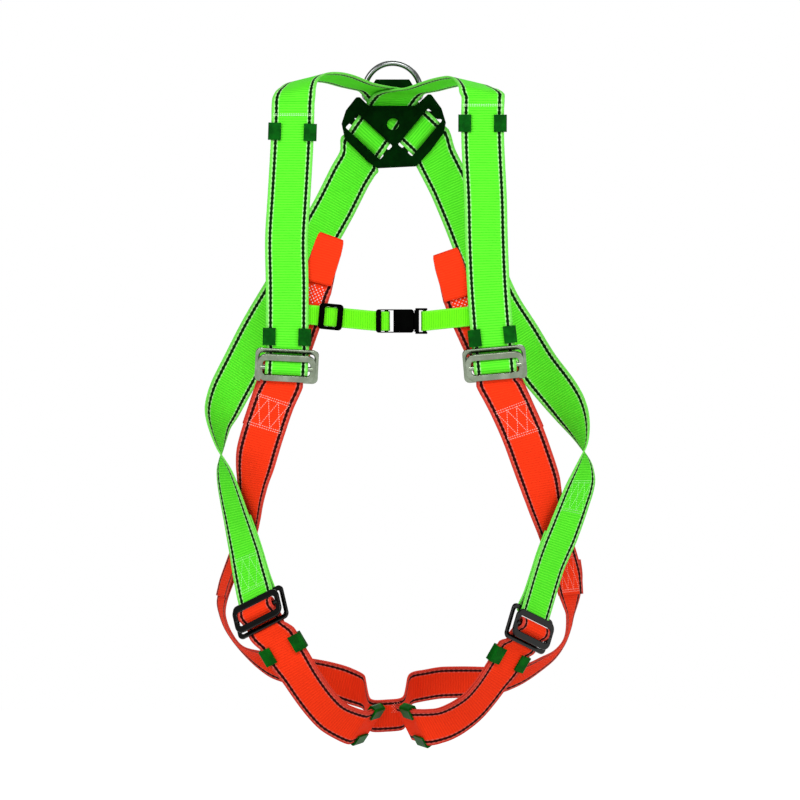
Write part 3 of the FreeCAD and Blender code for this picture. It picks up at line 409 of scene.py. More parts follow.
def smooth(frames, step=ROUTE_STEP):
    """Hermite curve through the frames, as points with width directions."""
    points, sides = [list(column) for column in zip(*frames)]
    last = len(points) - 1
    lengths = [0.0]
    for a, b in zip(points, points[1:]):
        lengths.append(lengths[-1] + (b - a).length)
    slopes, twists = [], []
    for k in range(last + 1):
        i, j = max(k - 1, 0), min(k + 1, last)
        span = lengths[j] - lengths[i]
        slopes.append((points[j] - points[i]) / span)
        twists.append((sides[j] - sides[i]) / span)
    out = []
    for k in range(last):
        h = lengths[k + 1] - lengths[k]
        count = max(1, round(h / step))
        for n in range(count + (k == last - 1)):
            t = n / count
            a, b = 2 * t ** 3 - 3 * t ** 2 + 1, -2 * t ** 3 + 3 * t ** 2
            c, d = (t ** 3 - 2 * t ** 2 + t) * h, (t ** 3 - t ** 2) * h
            point, side = (place[k] * a + rate[k] * c + place[k + 1] * b
                           + rate[k + 1] * d
                           for place, rate in ((points, slopes), (sides, twists)))
            out.append((point, side.normalized()))
    return out


def tangents(frames):
    """Direction of the run at each frame."""
    last = len(frames) - 1
    return [(frames[min(k + 1, last)][0] - frames[max(k - 1, 0)][0]).normalized()
            for k in range(len(frames))]


def shifted(frames, distance):
    """The same run as another layer, a distance off its face."""
    return [(point + side.cross(run).normalized() * distance, side)
            for (point, side), run in zip(frames, tangents(frames))]


def flipped(frames):
    """The same run with its width the other way round."""
    return [(point, -side) for point, side in frames]


print("a level strap's width runs along", tuple(across(0, 0)))

# %% [markdown]
# A buckle's seat is a small local frame: u across the strap, v along it, w out of the
# front. The strap's turns round the bars are laid out in it.

# %% Buckle seats
class Seat:
    """Where a buckle lies. Lean and turn are as for a strap, tip brings its top
    towards the viewer, in degrees, and flip turns it upside down."""

    def __init__(self, x, y, z, lean, turn, tip, flip=False):
        self.origin = Vector((x, y, z))
        u = across(lean, turn)
        v = (Vector((0, 0, 1)) - u * u.z).normalized()
        w = u.cross(v)
        tip = math.radians(tip)
        v = v * math.cos(tip) + w * math.sin(tip)
        if flip:
            u, v = -u, -v
        self.u, self.v, self.w = u, v, u.cross(v)

    def at(self, u, v, w):
        return self.origin + self.u * u + self.v * v + self.w * w

    def frame(self, v, w):
        return self.at(0, v, w), self.u


SEATS = {
    "chest_left": Seat(-116, -88, -302, -3, 0, 24),
    "chest_right": Seat(101, -88, -300, 5, 0, 24),
    "leg_left": Seat(-147, -60, -555, 27, 28, -14, flip=True),
    "leg_right": Seat(141, -60, -574, -27, -45, 5, flip=True),
}
print("seats:", ", ".join(SEATS))

# %% Sizes of the webbing and of what it passes through, in millimetres
WEBBING_WIDTH = 45.0
WEBBING_THICKNESS = 1.8
CHEST_WEBBING_WIDTH = 21.0
CHEST_WEBBING_THICKNESS = 1.4
LAYER_GAP = 0.8               # between two layers of one strap
RUNNING_GAP = 0.4             # between a strap and the bar it turns round
PASSING_GAP = 0.9             # between a strap and a bar it only passes
LARGE_FRAME_HEIGHT = 38.0
LARGE_FRAME_BAR = 5.0
ADJUSTER_HEIGHT = 30.4
ADJUSTER_BAR = 7.2
FRAME_THICKNESS = 3.0
CENTRE_BAR_DIAMETER = 5.0
PLATE_THICKNESS = 3.0
PLATE_FRONT = 83.0
SLOT_PITCH = 13.3
LAYER_PITCH = WEBBING_THICKNESS + LAYER_GAP
WRAP_RADIUS = CENTRE_BAR_DIAMETER / 2 + RUNNING_GAP + WEBBING_THICKNESS / 2
LOOP_RADIUS = FRAME_THICKNESS / 2 + PASSING_GAP + WEBBING_THICKNESS / 2
LARGE_FRAME_BEHIND = 2 * LOOP_RADIUS      # behind the adjuster, middle to middle
print("layers are", LAYER_PITCH, "mm apart, loops turn at", LOOP_RADIUS, "mm")

# %% [markdown]
# These are the runs of each strap between its fittings. They repeat the CAD model's
# routes, because the bands made here have to pass through the same buckles, slots and
# keepers and stay clear of the same bars. First come the two green webbings: up the
# chest, over the shoulders to the dorsal plate, and down the back to the legs.

# %% Up the chest
# Tail and main layer run here together, from the buckle to the shoulder.
FRONT_LEFT = stations(
    (-115.6, -87.1, -275, -2, 0), (-115.4, -87.1, -262, -1, 0),
    (-115.3, -87.1, -215, 0, 0), (-116, -87.1, -168, 0, 0), (-113.5, -87.1, -125, 0, 0),
    (-110.5, -87.1, -73, 0, 0), (-109.5, -87.1, -45, 0, 0), (-109, -87.1, -25, 0, 0))
FRONT_RIGHT = stations(
    (98.7, -87.1, -273, 4, 0), (97.5, -87.1, -262, 4, 0), (94, -87.1, -215, 3, 0),
    (92, -87.1, -168, 0, 0), (91, -87.1, -125, 0, 0), (88.5, -87.1, -73, 0, 0),
    (88, -87.1, -45, 0, 0), (88.5, -87.1, -19, 0, 0))
print("front runs:", len(FRONT_LEFT), "and", len(FRONT_RIGHT), "stations")

# %% Over the shoulders
# Above the dorsal plate both webbings lie on one curved surface, one over the other:
# upright behind the plate, rolling forward over its top edge, then nearly level.
BACK_GAP = 0.5                # behind the plate, and added where the webbings cross
BACK_FACE_Y = PLATE_FRONT + PLATE_THICKNESS + BACK_GAP + WEBBING_THICKNESS / 2
CROSSING_LIFT = LAYER_PITCH + BACK_GAP  # of the left webbing over the right one
BACK_TURN_Z = -24.5
BACK_RADIUS = 13.0
BACK_LEVEL = math.radians(84)


def on_back(x, run, lift, lean=0.0, turn=0.0):
    """Station on that surface: run is the length up it from where it starts to
    roll forward, lift the distance outward."""
    angle = min(max(run / BACK_RADIUS, 0.0), BACK_LEVEL)
    rest = run - angle * BACK_RADIUS
    y = BACK_FACE_Y - BACK_RADIUS * (1 - math.cos(angle)) - rest * math.sin(angle)
    z = BACK_TURN_Z + BACK_RADIUS * math.sin(angle) + rest * math.cos(angle)
    return station(x, y + lift * math.cos(angle), z + lift * math.sin(angle),
                   lean, turn)


OVER_LEFT_SHOULDER = stations(
    (-107, -79, -14, 3, 16), (-103, -64, -6, 9, 32), (-98, -44, -1, 12, 34),
    (-90, -22, 2, 14, 32), (-75, 0, 3, 13, 38), (-60, 20, 1, 9, 40),
    (-44, 41, -4, 4, 36)) + [
    on_back(-27, 31, CROSSING_LIFT, 3, 30), on_back(-19.3, 20, CROSSING_LIFT, 1, 8),
    on_back(-13.5, 12, CROSSING_LIFT), on_back(-7.5, 4, CROSSING_LIFT, 2),
    on_back(-0.5, -5, CROSSING_LIFT, 24)]
OVER_RIGHT_SHOULDER = stations(
    (85, -79, -12, -3, -16), (80, -64, -7, -9, -30), (75, -44, -3, -12, -36),
    (67, -22, -1, -12, -38), (54, 0, -2, -8, -34), (40, 20, -5, -5, -36),
    (26, 41, -8.7, -3, -36)) + [
    on_back(11.9, 31, 0, -3, -30), on_back(4.8, 20, 0, -1, -8), on_back(-0.4, 12, 0),
    on_back(-5.6, 4, 0, -2), on_back(-11.5, -5, 0, -16)]
print("shoulder runs:", len(OVER_LEFT_SHOULDER), "and", len(OVER_RIGHT_SHOULDER),
      "stations")

# %% Down the back and round to the legs
# Middle of each slot pair, the lean of its slots and the heading of the strap in it.
SLOTS_RIGHT = (Vector((23.0, 0, -53.4)), 50, (0.72, -0.69))
SLOTS_LEFT = (Vector((-30.3, 0, -58.0)), -43, (-0.56, -0.83))
SIDE_RIGHT = stations(
    (40, 89, -80, 31, 0), (54, 86, -108, 25, 4), (70, 80, -146, 20, 6),
    (80, 73, -172, 22, 6), (105, 57, -232, 28, 6), (128, 45, -269, 32, 6),
    (147, 33, -300, 33, 8), (167, 20, -326, 32, 18), (178, 12, -342, 28, 32),
    (186, 4, -357, 26, 50), (191, -2, -370, 22, 66), (194, -7, -383, 15, 82),
    (195, -12, -399, 0, 106), (192, -18, -419, 0, 126), (185, -25, -440, -8, 132),
    (171, -37, -477, -20, 137), (159, -46, -506, -20, 134))
SIDE_LEFT = stations(
    (-42, 89, -84, -36, 0), (-51, 86, -100, -33, -4), (-66, 80, -130, -29, -6),
    (-84, 73, -162, -28, -6), (-124, 57, -228, -33, -6), (-144, 45, -262, -33, -6),
    (-163, 33, -299, -34, -8), (-178, 21, -328, -31, -18), (-184, 12, -343, -26, -32),
    (-188, 4, -357, -24, -50), (-188, -2, -371, -22, -66), (-186, -8, -387, -15, -84),
    (-182, -13, -407, 0, -108), (-177, -18, -428, 6, -118), (-169, -26, -458, 14, -126),
    (-160, -37, -492, 20, -138), (-155, -45, -514, 24, -146))
print("side runs:", len(SIDE_RIGHT), "and", len(SIDE_LEFT), "stations")

# %% [markdown]
# The orange straps make the lower half. One pair rises from the hips to the chest
# buckles, another goes on up behind them to the sternal loops, one strap passes under
# the seat from hip to hip, and a pair goes round the thighs. A thigh strap is kept
# straight where a keeper slides on it.

# %% Orange straps of the chest
CHEST_LEFT = stations(
    (-185, 14, -541, -10, 76), (-181, 11, -526, -14, 75), (-172, 3, -503, -16, 74),
    (-157, -17, -473, -14, 68), (-154, -34, -443, -6, 57), (-151, -46.5, -417, -8, 42),
    (-147, -62, -391, -13, 12), (-139.5, -70.5, -365, -17, 2),
    (-129.5, -75, -336, -19, 0))
CHEST_RIGHT = stations(
    (181, 4, -539, 4, -57), (178, -3, -521, 8, -51), (172.5, -12, -502, 12, -49),
    (163, -28, -473, 14, -46), (153, -44, -442, 10, -35), (147.5, -54, -420, 10, -16),
    (138, -65, -392, 14, -4), (129.5, -71.5, -369, 18, 0), (117, -75, -341, 20, 0))
STERNAL_LEFT = stations(
    (-141, -65.0, -366, -18, 0), (-131, -67.5, -336, -19, 0),
    (-123, -67.0, -312, -19, 0), (-113, -73.0, -283, -19, 0),
    (-98, -78.0, -240, -18, 0), (-91, -77.0, -218, -17, 0), (-79, -74.0, -194, -18, 0),
    (-71.5, -73.2, -172, -20, 0))
STERNAL_RIGHT = stations(
    (131, -66.0, -370, 20, 0), (118, -67.5, -341, 21, 0), (106, -67.0, -314, 22, 0),
    (95, -73.0, -288, 23, 0), (76, -78.0, -246, 22, 0), (68, -77.0, -225, 20, 0),
    (57, -74.0, -204, 18, 0), (51.5, -73.2, -188, 19, 0))
STERNAL_LEFT_END = (-84, -213, -14)      # x and z of the loop's sewn end, and its lean
STERNAL_RIGHT_END = (63, -229, 16)
print("chest runs:", len(CHEST_LEFT), "and", len(CHEST_RIGHT), "stations")

# %% Orange straps of the seat and the thighs
SEAT_STRAP = stations(
    (176, -2, -502, 180, 50), (179.5, 4, -521, 180, 54), (180, 11, -540, 180, 62),
    (180.5, 17, -561, 180, 80), (178, 21, -579, 233, 76), (170, 25, -594, 210, 74),
    (157, 30, -606, 175, 69), (142, 35, -616, 154, 67), (128, 38, -623, 129, 63),
    (106, 41, -629, 103, 52), (75, 42, -631, 91, 43), (44, 41, -632, 90, 41),
    (26, 38, -635, 88, 41), (16, 36.5, -637, 88, 40), (12.2, 33.5, -639.5, 89, 39),
    (10.6, 29, -643, 90, 39), (9, 18, -651.5, 90, 39), (7, 7.5, -660, 90, 39),
    (5, 3.6, -663, 90, 39), (0.5, 2.2, -664.5, 90, 40), (-12, 2, -665.5, 90, 40),
    (-24, 2.4, -666, 90, 40), (-29, 3.8, -664.8, 90, 39), (-31, 8, -661.5, 90, 39),
    (-33, 18, -653.5, 90, 38), (-34.6, 29, -645, 90, 38), (-36.2, 33.5, -641.6, 88, 37),
    (-40, 36.5, -639.5, 84, 36), (-48, 38.5, -636.5, 78, 34), (-60, 40, -632, 76, 33),
    (-78, 41, -626, 80, 39), (-104, 41, -620, 74, 45), (-128, 37, -614, 64, 52),
    (-150, 33, -603, 30, 68), (-167, 29, -592, -17, 78), (-178, 26, -577, -25, 80),
    (-184, 24, -561, 0, 82), (-184.6, 21, -546, 0, 77), (-178.6, 16, -527, 0, 76),
    (-169.1, 8, -504, 0, 75))


def straight(x, y, z, run, lean, turn, half):
    """Five stations in one line and one plane, so that a keeper can slide there."""
    direction = Vector(run).normalized()
    middle = Vector((x, y, z))
    side = across(lean, turn)
    return [(middle + direction * (half * k / 2), side) for k in (-2, -1, 0, 1, 2)]


THIGH_LEFT = (straight(-120, -58, -595, (0.5, 0.14, -0.855), 28, 20, 12)
              + stations((-104, -55.5, -620, 31, 30), (-88.5, -52, -643, 37, 33),
                         (-68, -44.5, -666, 46, 33))
              + straight(-33.3, -15.3, -675.6, (0.52, 0.84, 0.15), 56.8, 26, 17))
THIGH_RIGHT = (straight(116.0, -53.5, -605, (-0.49, 0.16, -0.857), -27, -42, 11)
               + stations((100, -51.0, -629, -34, -48), (79, -47.0, -655, -50, -48),
                          (51, -37.5, -673, -58, -38))
               + straight(15, -16.7, -675.1, (-0.52, 0.84, 0.15), -63.7, -23.5, 17))
print("seat:", len(SEAT_STRAP), "stations, thighs:", len(THIGH_LEFT), "and",
      len(THIGH_RIGHT))

# %% [markdown]
# The chest strap is narrower and thinner, and has no tracers. Each half comes in to
# the clip, turns round a bar and goes back behind itself. Inside the clip it is level,
# and outside it rises a little towards the shoulder webbing that carries it.

# %% The two halves of the chest strap
UPRIGHT = Vector((0, 0, 1))
CLIP = Vector((3.1, -82.4, -252.8))
CLIP_BAR_RADIUS = 2.0
LEFT_BAR = (-12.0, CLIP.y + 1.2)       # X and Y of the bar that the half turns round
RIGHT_BAR = (27.7, CLIP.y)
LEVEL_TO_LEFT = -23.0                  # where the left half starts to rise
LEFT_RISE = 0.095                      # height gained for each length outward
RIGHT_RISE = 0.105
CHEST_WRAP = CLIP_BAR_RADIUS + RUNNING_GAP + CHEST_WEBBING_THICKNESS / 2


def chest_half(coming, bar, going, out, level_to, rise):
    """Frames of one half: coming and going are X and Y of its points before and
    after the bar, and out is -1 for the left half and 1 for the right."""
    turn = []
    for angle in range(-90, 91, 45):
        a = math.radians(angle)
        turn.append((bar[0] - out * CHEST_WRAP * math.cos(a),
                     bar[1] + CHEST_WRAP * math.sin(a)))
    return [(Vector((x, y, CLIP.z + rise * max(0.0, out * (x - level_to)))), UPRIGHT)
            for x, y in coming + turn + going]


CHEST_HALF_LEFT = chest_half(
    [(-112, -82.3), (-95, -82.3), (-75, -82.4), (-60, -82.4), (-45, -82.6),
     (-32, -83.4), (-22, -84.2), (-16.5, LEFT_BAR[1] - CHEST_WRAP + 0.1)], LEFT_BAR,
    [(-20, -78.2), (-32, -78.0), (-48, -78.0), (-64, -78.0)],
    -1, LEVEL_TO_LEFT, LEFT_RISE)
CHEST_HALF_RIGHT = chest_half(
    [(98, -82.3), (85, -82.3), (70, -82.4), (56, -82.8), (42, -84.0), (34, -85.0)],
    RIGHT_BAR, [(34, -79.6), (42, -80.4), (52, -80.6), (60, -80.6)],
    1, RIGHT_BAR[0], RIGHT_RISE)
print("chest strap:", len(CHEST_HALF_LEFT), "and", len(CHEST_HALF_RIGHT), "points")

# %% [markdown]
# Through a buckle pair the webbing comes up behind the large frame's bar, turns round
# the adjuster's round centre bar and goes back behind itself. At a sewn end it turns
# over the large frame's other bar and lies doubled behind itself. A smooth curve
# through a few points would cut into the metal on turns as tight as these, so they
# are laid out by angle round each bar.

# %% Turns through buckles
SLACK_GAP = 0.5               # the loose turn nearly fills the adjuster's window
TURN_INSET = 2.0              # of a loop's turn, from the bar's inner edge
CLOSING_LENGTH = 12.0         # over which a loop's two layers come together


def pair_through(seat):
    """Frames from behind the large frame, round the centre bar and back."""
    behind = -(LARGE_FRAME_BEHIND + FRAME_THICKNESS / 2 + RUNNING_GAP
               + WEBBING_THICKNESS / 2)
    top = LARGE_FRAME_HEIGHT / 2
    lip = top - LARGE_FRAME_BAR
    inner = ADJUSTER_HEIGHT / 2 - ADJUSTER_BAR
    slack = inner - WEBBING_THICKNESS / 2 - SLACK_GAP
    # v and w: behind the bar, forward through the window, then round the centre bar
    rows = [(top, behind), (lip - 0.2, behind), (lip - 2.6, behind + 1.2),
            (inner + 0.5, behind + 4.4), (inner - 2.0, behind + 7.2)]
    for angle in range(40, 251, 30):
        a = math.radians(angle)
        along = WRAP_RADIUS if math.cos(a) > 0 else slack
        rows.append((along * math.cos(a), WRAP_RADIUS * math.sin(a)))
    rows += [(lip / 2, behind + 1.3), (lip + 0.6, behind - LAYER_PITCH),
             (top, behind - LAYER_PITCH)]
    return [seat.frame(v, w) for v, w in rows]


def loop_over(seat, front, doubled_length, aside):
    """The front run, its turn over the large frame's bar, and the layer that lies
    doubled behind it; aside moves the turn across the bar."""
    middle = -LARGE_FRAME_BEHIND
    far = -LARGE_FRAME_HEIGHT / 2
    centre = far + LARGE_FRAME_BAR - TURN_INSET
    side = seat.u if seat.u.dot(front[-1][1]) > 0 else -seat.u
    layer = smooth(front + [(seat.at(aside, far, middle + LOOP_RADIUS), side)])
    turn = []
    for angle in range(90, -91, -30):
        a = math.radians(angle)
        turn.append((seat.at(aside, centre + LOOP_RADIUS * math.cos(a),
                             middle + LOOP_RADIUS * math.sin(a)), side))
    back = [(seat.at(aside, far, middle - LOOP_RADIUS), side)]
    runs = tangents(layer)
    travelled = 0.0
    for k in range(len(layer) - 2, -1, -1):
        travelled += (layer[k + 1][0] - layer[k][0]).length
        if travelled > doubled_length:
            break
        apart = LAYER_PITCH + ((2 * LOOP_RADIUS - LAYER_PITCH)
                               * math.exp(-travelled / CLOSING_LENGTH))
        normal = layer[k][1].cross(runs[k]).normalized()
        if normal.dot(seat.w) > 0:
            apart = -apart
        back.append((layer[k][0] + normal * apart, layer[k][1]))
    return layer + turn + back


print("loops lie doubled", LAYER_PITCH, "mm behind themselves")

# %% [markdown]
# The dorsal plate has a pair of slots for each green webbing. The webbing comes down
# behind the plate, forward through the upper slot, across the front of the plate and
# back through the lower slot. One more function then joins the pieces of the whole
# webbing, from its tail end on the chest to the loop on the opposite leg.

# %% Through the dorsal plate, and the whole green webbing
LEG_LOOP_SEWN = 95.0          # length of the layer that lies doubled


def plate_weave(slots, start_y):
    """Frames through one slot pair, from start_y behind the plate."""
    middle, lean, (rx, rz) = slots
    run = Vector((rx, 0, rz)).normalized()
    side = across(lean, 0)
    if side.cross(run).y > 0:
        side = -side
    reach = SLOT_PITCH / 2 / abs(side.cross(run).y)
    centre = PLATE_FRONT + PLATE_THICKNESS / 2
    front = PLATE_FRONT - RUNNING_GAP * 2 - WEBBING_THICKNESS / 2
    back = (PLATE_FRONT + PLATE_THICKNESS + RUNNING_GAP + WEBBING_THICKNESS / 2
            + PASSING_GAP)
    # distance along the run from the middle of the pair, and depth
    rows = [(-reach - 14.0, start_y), (-reach - 10.5, start_y),
            (-reach - 7.2, (start_y + back) / 2), (-reach - 5.0, back),
            (-reach - 2.0, centre + 2.6), (-reach, centre),
            (-reach + 2.0, centre - 2.6), (-reach + 4.4, front), (0, front),
            (reach - 4.4, front), (reach - 2.0, centre - 2.6), (reach, centre),
            (reach + 2.0, centre + 2.6), (reach + 5.0, back), (reach + 10.0, back)]
    return [(Vector((middle.x + run.x * d, y, middle.z + run.z * d)), side)
            for d, y in rows]


def long_webbing(front, over, slots, lift, side, chest, leg):
    """One green webbing, from its tail end to the loop on the opposite leg."""
    tail = smooth(front)
    main = shifted(tail, -LAYER_PITCH)
    if main[0][0].y < tail[0][0].y:
        main = shifted(tail, LAYER_PITCH)
    shoulder = smooth([main[-1]] + over)[1:-1]
    weave = plate_weave(slots, BACK_FACE_Y + lift)
    if weave[0][1].dot(over[-1][1]) < 0:
        weave = flipped(weave)
    if side[0][1].dot(weave[0][1]) < 0:
        side = flipped(side)
    body = loop_over(leg, [weave[-1]] + side, LEG_LOOP_SEWN, 0.0)
    return (list(reversed(tail)) + pair_through(chest) + main + shoulder
            + [over[-1]] + weave + body[1:])


print("slot pairs", SLOT_PITCH, "mm apart in the plate")

# %% [markdown]
# A thigh strap starts at its free tail, passes the buckle and goes back behind itself.
# A sternal strap narrows towards its top, where it is folded over into an open loop
# for a connector, so it needs a width for each frame beside the frames.

# %% Thigh straps and sternal loops
LOOP_WIDTH = 31.0             # of a sternal strap where it is folded
LOOP_BOW = 4.4                # radius of the open turn at its top
LOOP_RISE = 3.0               # of the turn's middle over the end of the route
LOOP_BELLY = 0.4              # of the layer in front, out from a straight fall
TURN_CUTS = (1.0, 2.2, 3.8, 4.2, 3.8, 2.2)     # how much narrower the turn is


def thigh_strap(seat, route):
    """Leg strap: tail end, up to the buckle, round its bar and back behind itself."""
    buckle = pair_through(seat)
    if buckle[0][1].dot(route[0][1]) < 0:
        buckle = flipped(buckle)
    tail = smooth([buckle[0]] + route)
    sign = 1 if tail[4][1].cross(tangents(tail)[4]).dot(seat.w) < 0 else -1
    main = shifted(tail, sign * LAYER_PITCH)[1:]
    return list(reversed(tail)) + buckle[1:] + main


def sternal_loop(route, end_x, end_z, lean):
    """Frames of a sternal strap and its loop, and their widths."""
    up = smooth(route)
    side = up[-1][1]
    run = tangents(up)[-1]
    run = Vector((run.x, 0, run.z)).normalized()
    top = up[-1][0] + run * LOOP_RISE
    turn = []
    for angle in (90, 50, 10, -30, -70):
        a = math.radians(angle)
        turn.append((top + run * (LOOP_BOW * math.cos(a))
                     + Vector((0, LOOP_BOW * (math.sin(a) - 1), 0)), side))
    front = top.y - 2 * LOOP_BOW
    down = smooth([turn[-1],
                   station((top.x + end_x) / 2, front - LOOP_BELLY,
                           (top.z + end_z) / 2, lean, 0),
                   station(end_x, front + LOOP_BELLY, end_z, lean, 0)])
    fold_z = route[-2][0].z
    flat_z = route[-3][0].z
    widths = []
    for point, _ in up[:-1]:
        share = min(max((point.z - flat_z) / (fold_z - flat_z), 0.0), 1.0)
        widths.append(WEBBING_WIDTH + (LOOP_WIDTH - WEBBING_WIDTH) * share)
    widths += [LOOP_WIDTH - cut for cut in TURN_CUTS]
    return up + turn + down[1:], widths + [LOOP_WIDTH] * (len(down) - 1)


print("sternal straps narrow from", WEBBING_WIDTH, "to", LOOP_WIDTH, "mm")

# %% [markdown]
# The band itself is a closed skin: a front face, a back face and two rounded edges,
# a row of faces every three millimetres. A slight cupping and a slow ripple keep
# it from looking like cut sheet metal, and stay far smaller than the gaps to its
# neighbours. A curve with a flat bevel could make a band too, but it wouldn't hold
# the facing through a twist, and here each row of points is put where the facing
# says. The UV map carries the true distance across and along, so that the weave
# keeps its size where a strap narrows.

# %% Section of a band
FACE_LENGTH = 3.0
FACE_COLUMNS = (0.15, 0.45, 0.72)      # shares of the half width
EDGE_COLUMNS = (1.6, 0.5)     # distances from the edge, which round it


def spread(frames, values, step):
    """One value per refined frame, between those of the frames it lies between."""
    out = []
    for k in range(len(frames) - 1):
        count = max(1, round((frames[k + 1][0] - frames[k][0]).length / step))
        for n in range(count + (k == len(frames) - 2)):
            out.append(values[k] + (values[k + 1] - values[k]) * n / count)
    return out


def band_section(half):
    """Across a band, edge to edge and back: place and face, 1, 0 or -1."""
    right = [half * share for share in FACE_COLUMNS]
    right += [half - inset for inset in EDGE_COLUMNS]
    columns = [-u for u in reversed(right)] + right
    return ([(-half, 0.0)] + [(u, 1.0) for u in columns]
            + [(half, 0.0)] + [(u, -1.0) for u in reversed(columns)])


def signed_volume(mesh):
    """Negative where the faces point inwards."""
    total = 0.0
    for face in mesh.polygons:
        corners = [mesh.vertices[i].co for i in face.vertices]
        for k in range(1, len(corners) - 1):
            total += corners[0].dot(corners[k].cross(corners[k + 1]))
    return total


print("points round a band:", len(band_section(WEBBING_WIDTH / 2)))

# %% Weaving a strap
STRAPS = {}                   # what the seams need to know of each band
EDGE_EASE = 0.2               # each edge runs a little inside the nominal width
CUPPING = 0.10
CUPPING_RUN = 61.0            # length along the strap for a radian of its wave
RIPPLE = 0.07
RIPPLE_RUN = 17.0
RIPPLE_ACROSS = 9.0
MOST_STRETCH = 2.0            # of the width, where a strap runs askew to it


def weave_strap(name, frames, width, thickness, material, node, seed):
    """Band through the frames; width is one number, or one for each frame."""
    fine = smooth(frames, FACE_LENGTH)
    widths = width if isinstance(width, list) else [width] * len(frames)
    widths = spread(frames, widths, FACE_LENGTH)
    rng = random.Random(seed)
    phases = [rng.uniform(0, 2 * math.pi) for _ in range(2)]
    points, uvs, lengths, normals = [], [], [], []
    travelled = 0.0
    for k, ((middle, side), run, wide) in enumerate(zip(fine, tangents(fine), widths)):
        if k:
            travelled += (middle - fine[k - 1][0]).length
        lengths.append(travelled)
        normal = side.cross(run)
        # a side that isn't square to the run is stretched, so the width stays true
        stretch = 1.0 / max(normal.length, 1 / MOST_STRETCH)
        normals.append(normal.normalized())
        half = wide / 2 - EDGE_EASE
        section = band_section(half)
        cup = CUPPING * math.sin(travelled / CUPPING_RUN + phases[0])
        for u, face in section:
            ripple = RIPPLE * math.sin(travelled / RIPPLE_RUN + u / RIPPLE_ACROSS
                                       + phases[1])
            lift = face * thickness / 2 + cup * (1 - (u / half) ** 2) + ripple
            points.append((middle + side * (u * stretch) + normals[-1] * lift) * MM)
            uvs.append((u * MM, travelled * MM))
    ring = len(section)
    faces = []
    for k in range(len(fine) - 1):
        a, b = k * ring, (k + 1) * ring
        for i in range(ring):
            j = (i + 1) % ring
            faces.append((a + i, a + j, b + j, b + i))
    faces.append(tuple(reversed(range(ring))))
    faces.append(tuple(range((len(fine) - 1) * ring, len(fine) * ring)))
    mesh = bpy.data.meshes.new(name)
    mesh.from_pydata(points, [], faces)
    layer = mesh.uv_layers.new(name="strap")
    for loop in mesh.loops:
        layer.data[loop.index].uv = uvs[loop.vertex_index]
    mesh.polygons.foreach_set("use_smooth", [True] * len(mesh.polygons))
    mesh.materials.append(material)
    if signed_volume(mesh) < 0:
        mesh.flip_normals()
    obj = put_in_scene(name, mesh)
    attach(obj, HARNESS)
    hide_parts(node)
    STRAPS[name] = {"frames": fine, "lengths": lengths, "normals": normals,
                    "thickness": thickness}
    print(name, round(travelled), "mm long,", len(mesh.polygons), "faces")


print("faces of a band are", FACE_LENGTH, "mm long, it cups by", CUPPING, "mm")

# %% [markdown]
# Now each band is woven along its frames. The number at the end of each row seeds
# where its cupping and its ripple start, so that the straps don't all wave alike.

# %% The green webbings
for name, frames, node, seed in (
        ("green_webbing_left", long_webbing(
            FRONT_LEFT, OVER_LEFT_SHOULDER, SLOTS_RIGHT, CROSSING_LIFT, SIDE_RIGHT,
            SEATS["chest_left"], SEATS["leg_right"]), "webbing_left_shoulder", 3),
        ("green_webbing_right", long_webbing(
            FRONT_RIGHT, OVER_RIGHT_SHOULDER, SLOTS_LEFT, 0.0, SIDE_LEFT,
            SEATS["chest_right"], SEATS["leg_left"]), "webbing_right_shoulder", 7)):
    weave_strap(name, frames, WEBBING_WIDTH, WEBBING_THICKNESS, green, node,
                seed)

# %% The orange straps
CHEST_LOOP_SEWN = 52.0
CHEST_LEFT_ASIDE = -4.5       # the chest loops sit off the middle of their bars
CHEST_RIGHT_ASIDE = 1.5
for name, (frames, width), node, seed in (
        ("orange_chest_left",
         (loop_over(SEATS["chest_left"], CHEST_LEFT, CHEST_LOOP_SEWN,
                    CHEST_LEFT_ASIDE), WEBBING_WIDTH), "chest_webbing_left", 11),
        ("orange_chest_right",
         (loop_over(SEATS["chest_right"], CHEST_RIGHT, CHEST_LOOP_SEWN,
                    CHEST_RIGHT_ASIDE), WEBBING_WIDTH), "chest_webbing_right", 11),
        ("orange_sternal_left", sternal_loop(STERNAL_LEFT, *STERNAL_LEFT_END),
         "sternal_loop_left", 13),
        ("orange_sternal_right", sternal_loop(STERNAL_RIGHT, *STERNAL_RIGHT_END),
         "sternal_loop_right", 17),
        ("orange_seat", (smooth(SEAT_STRAP), WEBBING_WIDTH), "seat_strap", 19),
        ("orange_thigh_left",
         (thigh_strap(SEATS["leg_left"], THIGH_LEFT), WEBBING_WIDTH),
         "thigh_strap_left", 23),
        ("orange_thigh_right",
         (thigh_strap(SEATS["leg_right"], THIGH_RIGHT), WEBBING_WIDTH),
         "thigh_strap_right", 29)):
    weave_strap(name, frames, width, WEBBING_THICKNESS, orange, node,
                seed)

# %% The chest strap
for name, frames, node, seed in (
        ("chest_band_left", CHEST_HALF_LEFT, "chest_strap_left", 31),
        ("chest_band_right", CHEST_HALF_RIGHT, "chest_strap_right", 37)):
    weave_strap(name, frames, CHEST_WEBBING_WIDTH, CHEST_WEBBING_THICKNESS,
                chest_green, node, seed)

# %% [markdown]
# The hardware keeps its CAD shape. The chest buckles are stamped steel, left bright,
# and the leg buckles are the same steel with black enamel; the D-ring is forged and
# polished; the dorsal plate and the keepers are moulded green plastic, and the slider
# and the clip are moulded black acetal. A flat colour would look like a toy's, so
# each finish is one recipe with its own values: a colour that drifts a little, a
# roughness that varies with handling, and a fine bump.

# %% Recipe for a hard finish
HANDLED_PATCHES = 90.0        # in a metre, so 11 mm each
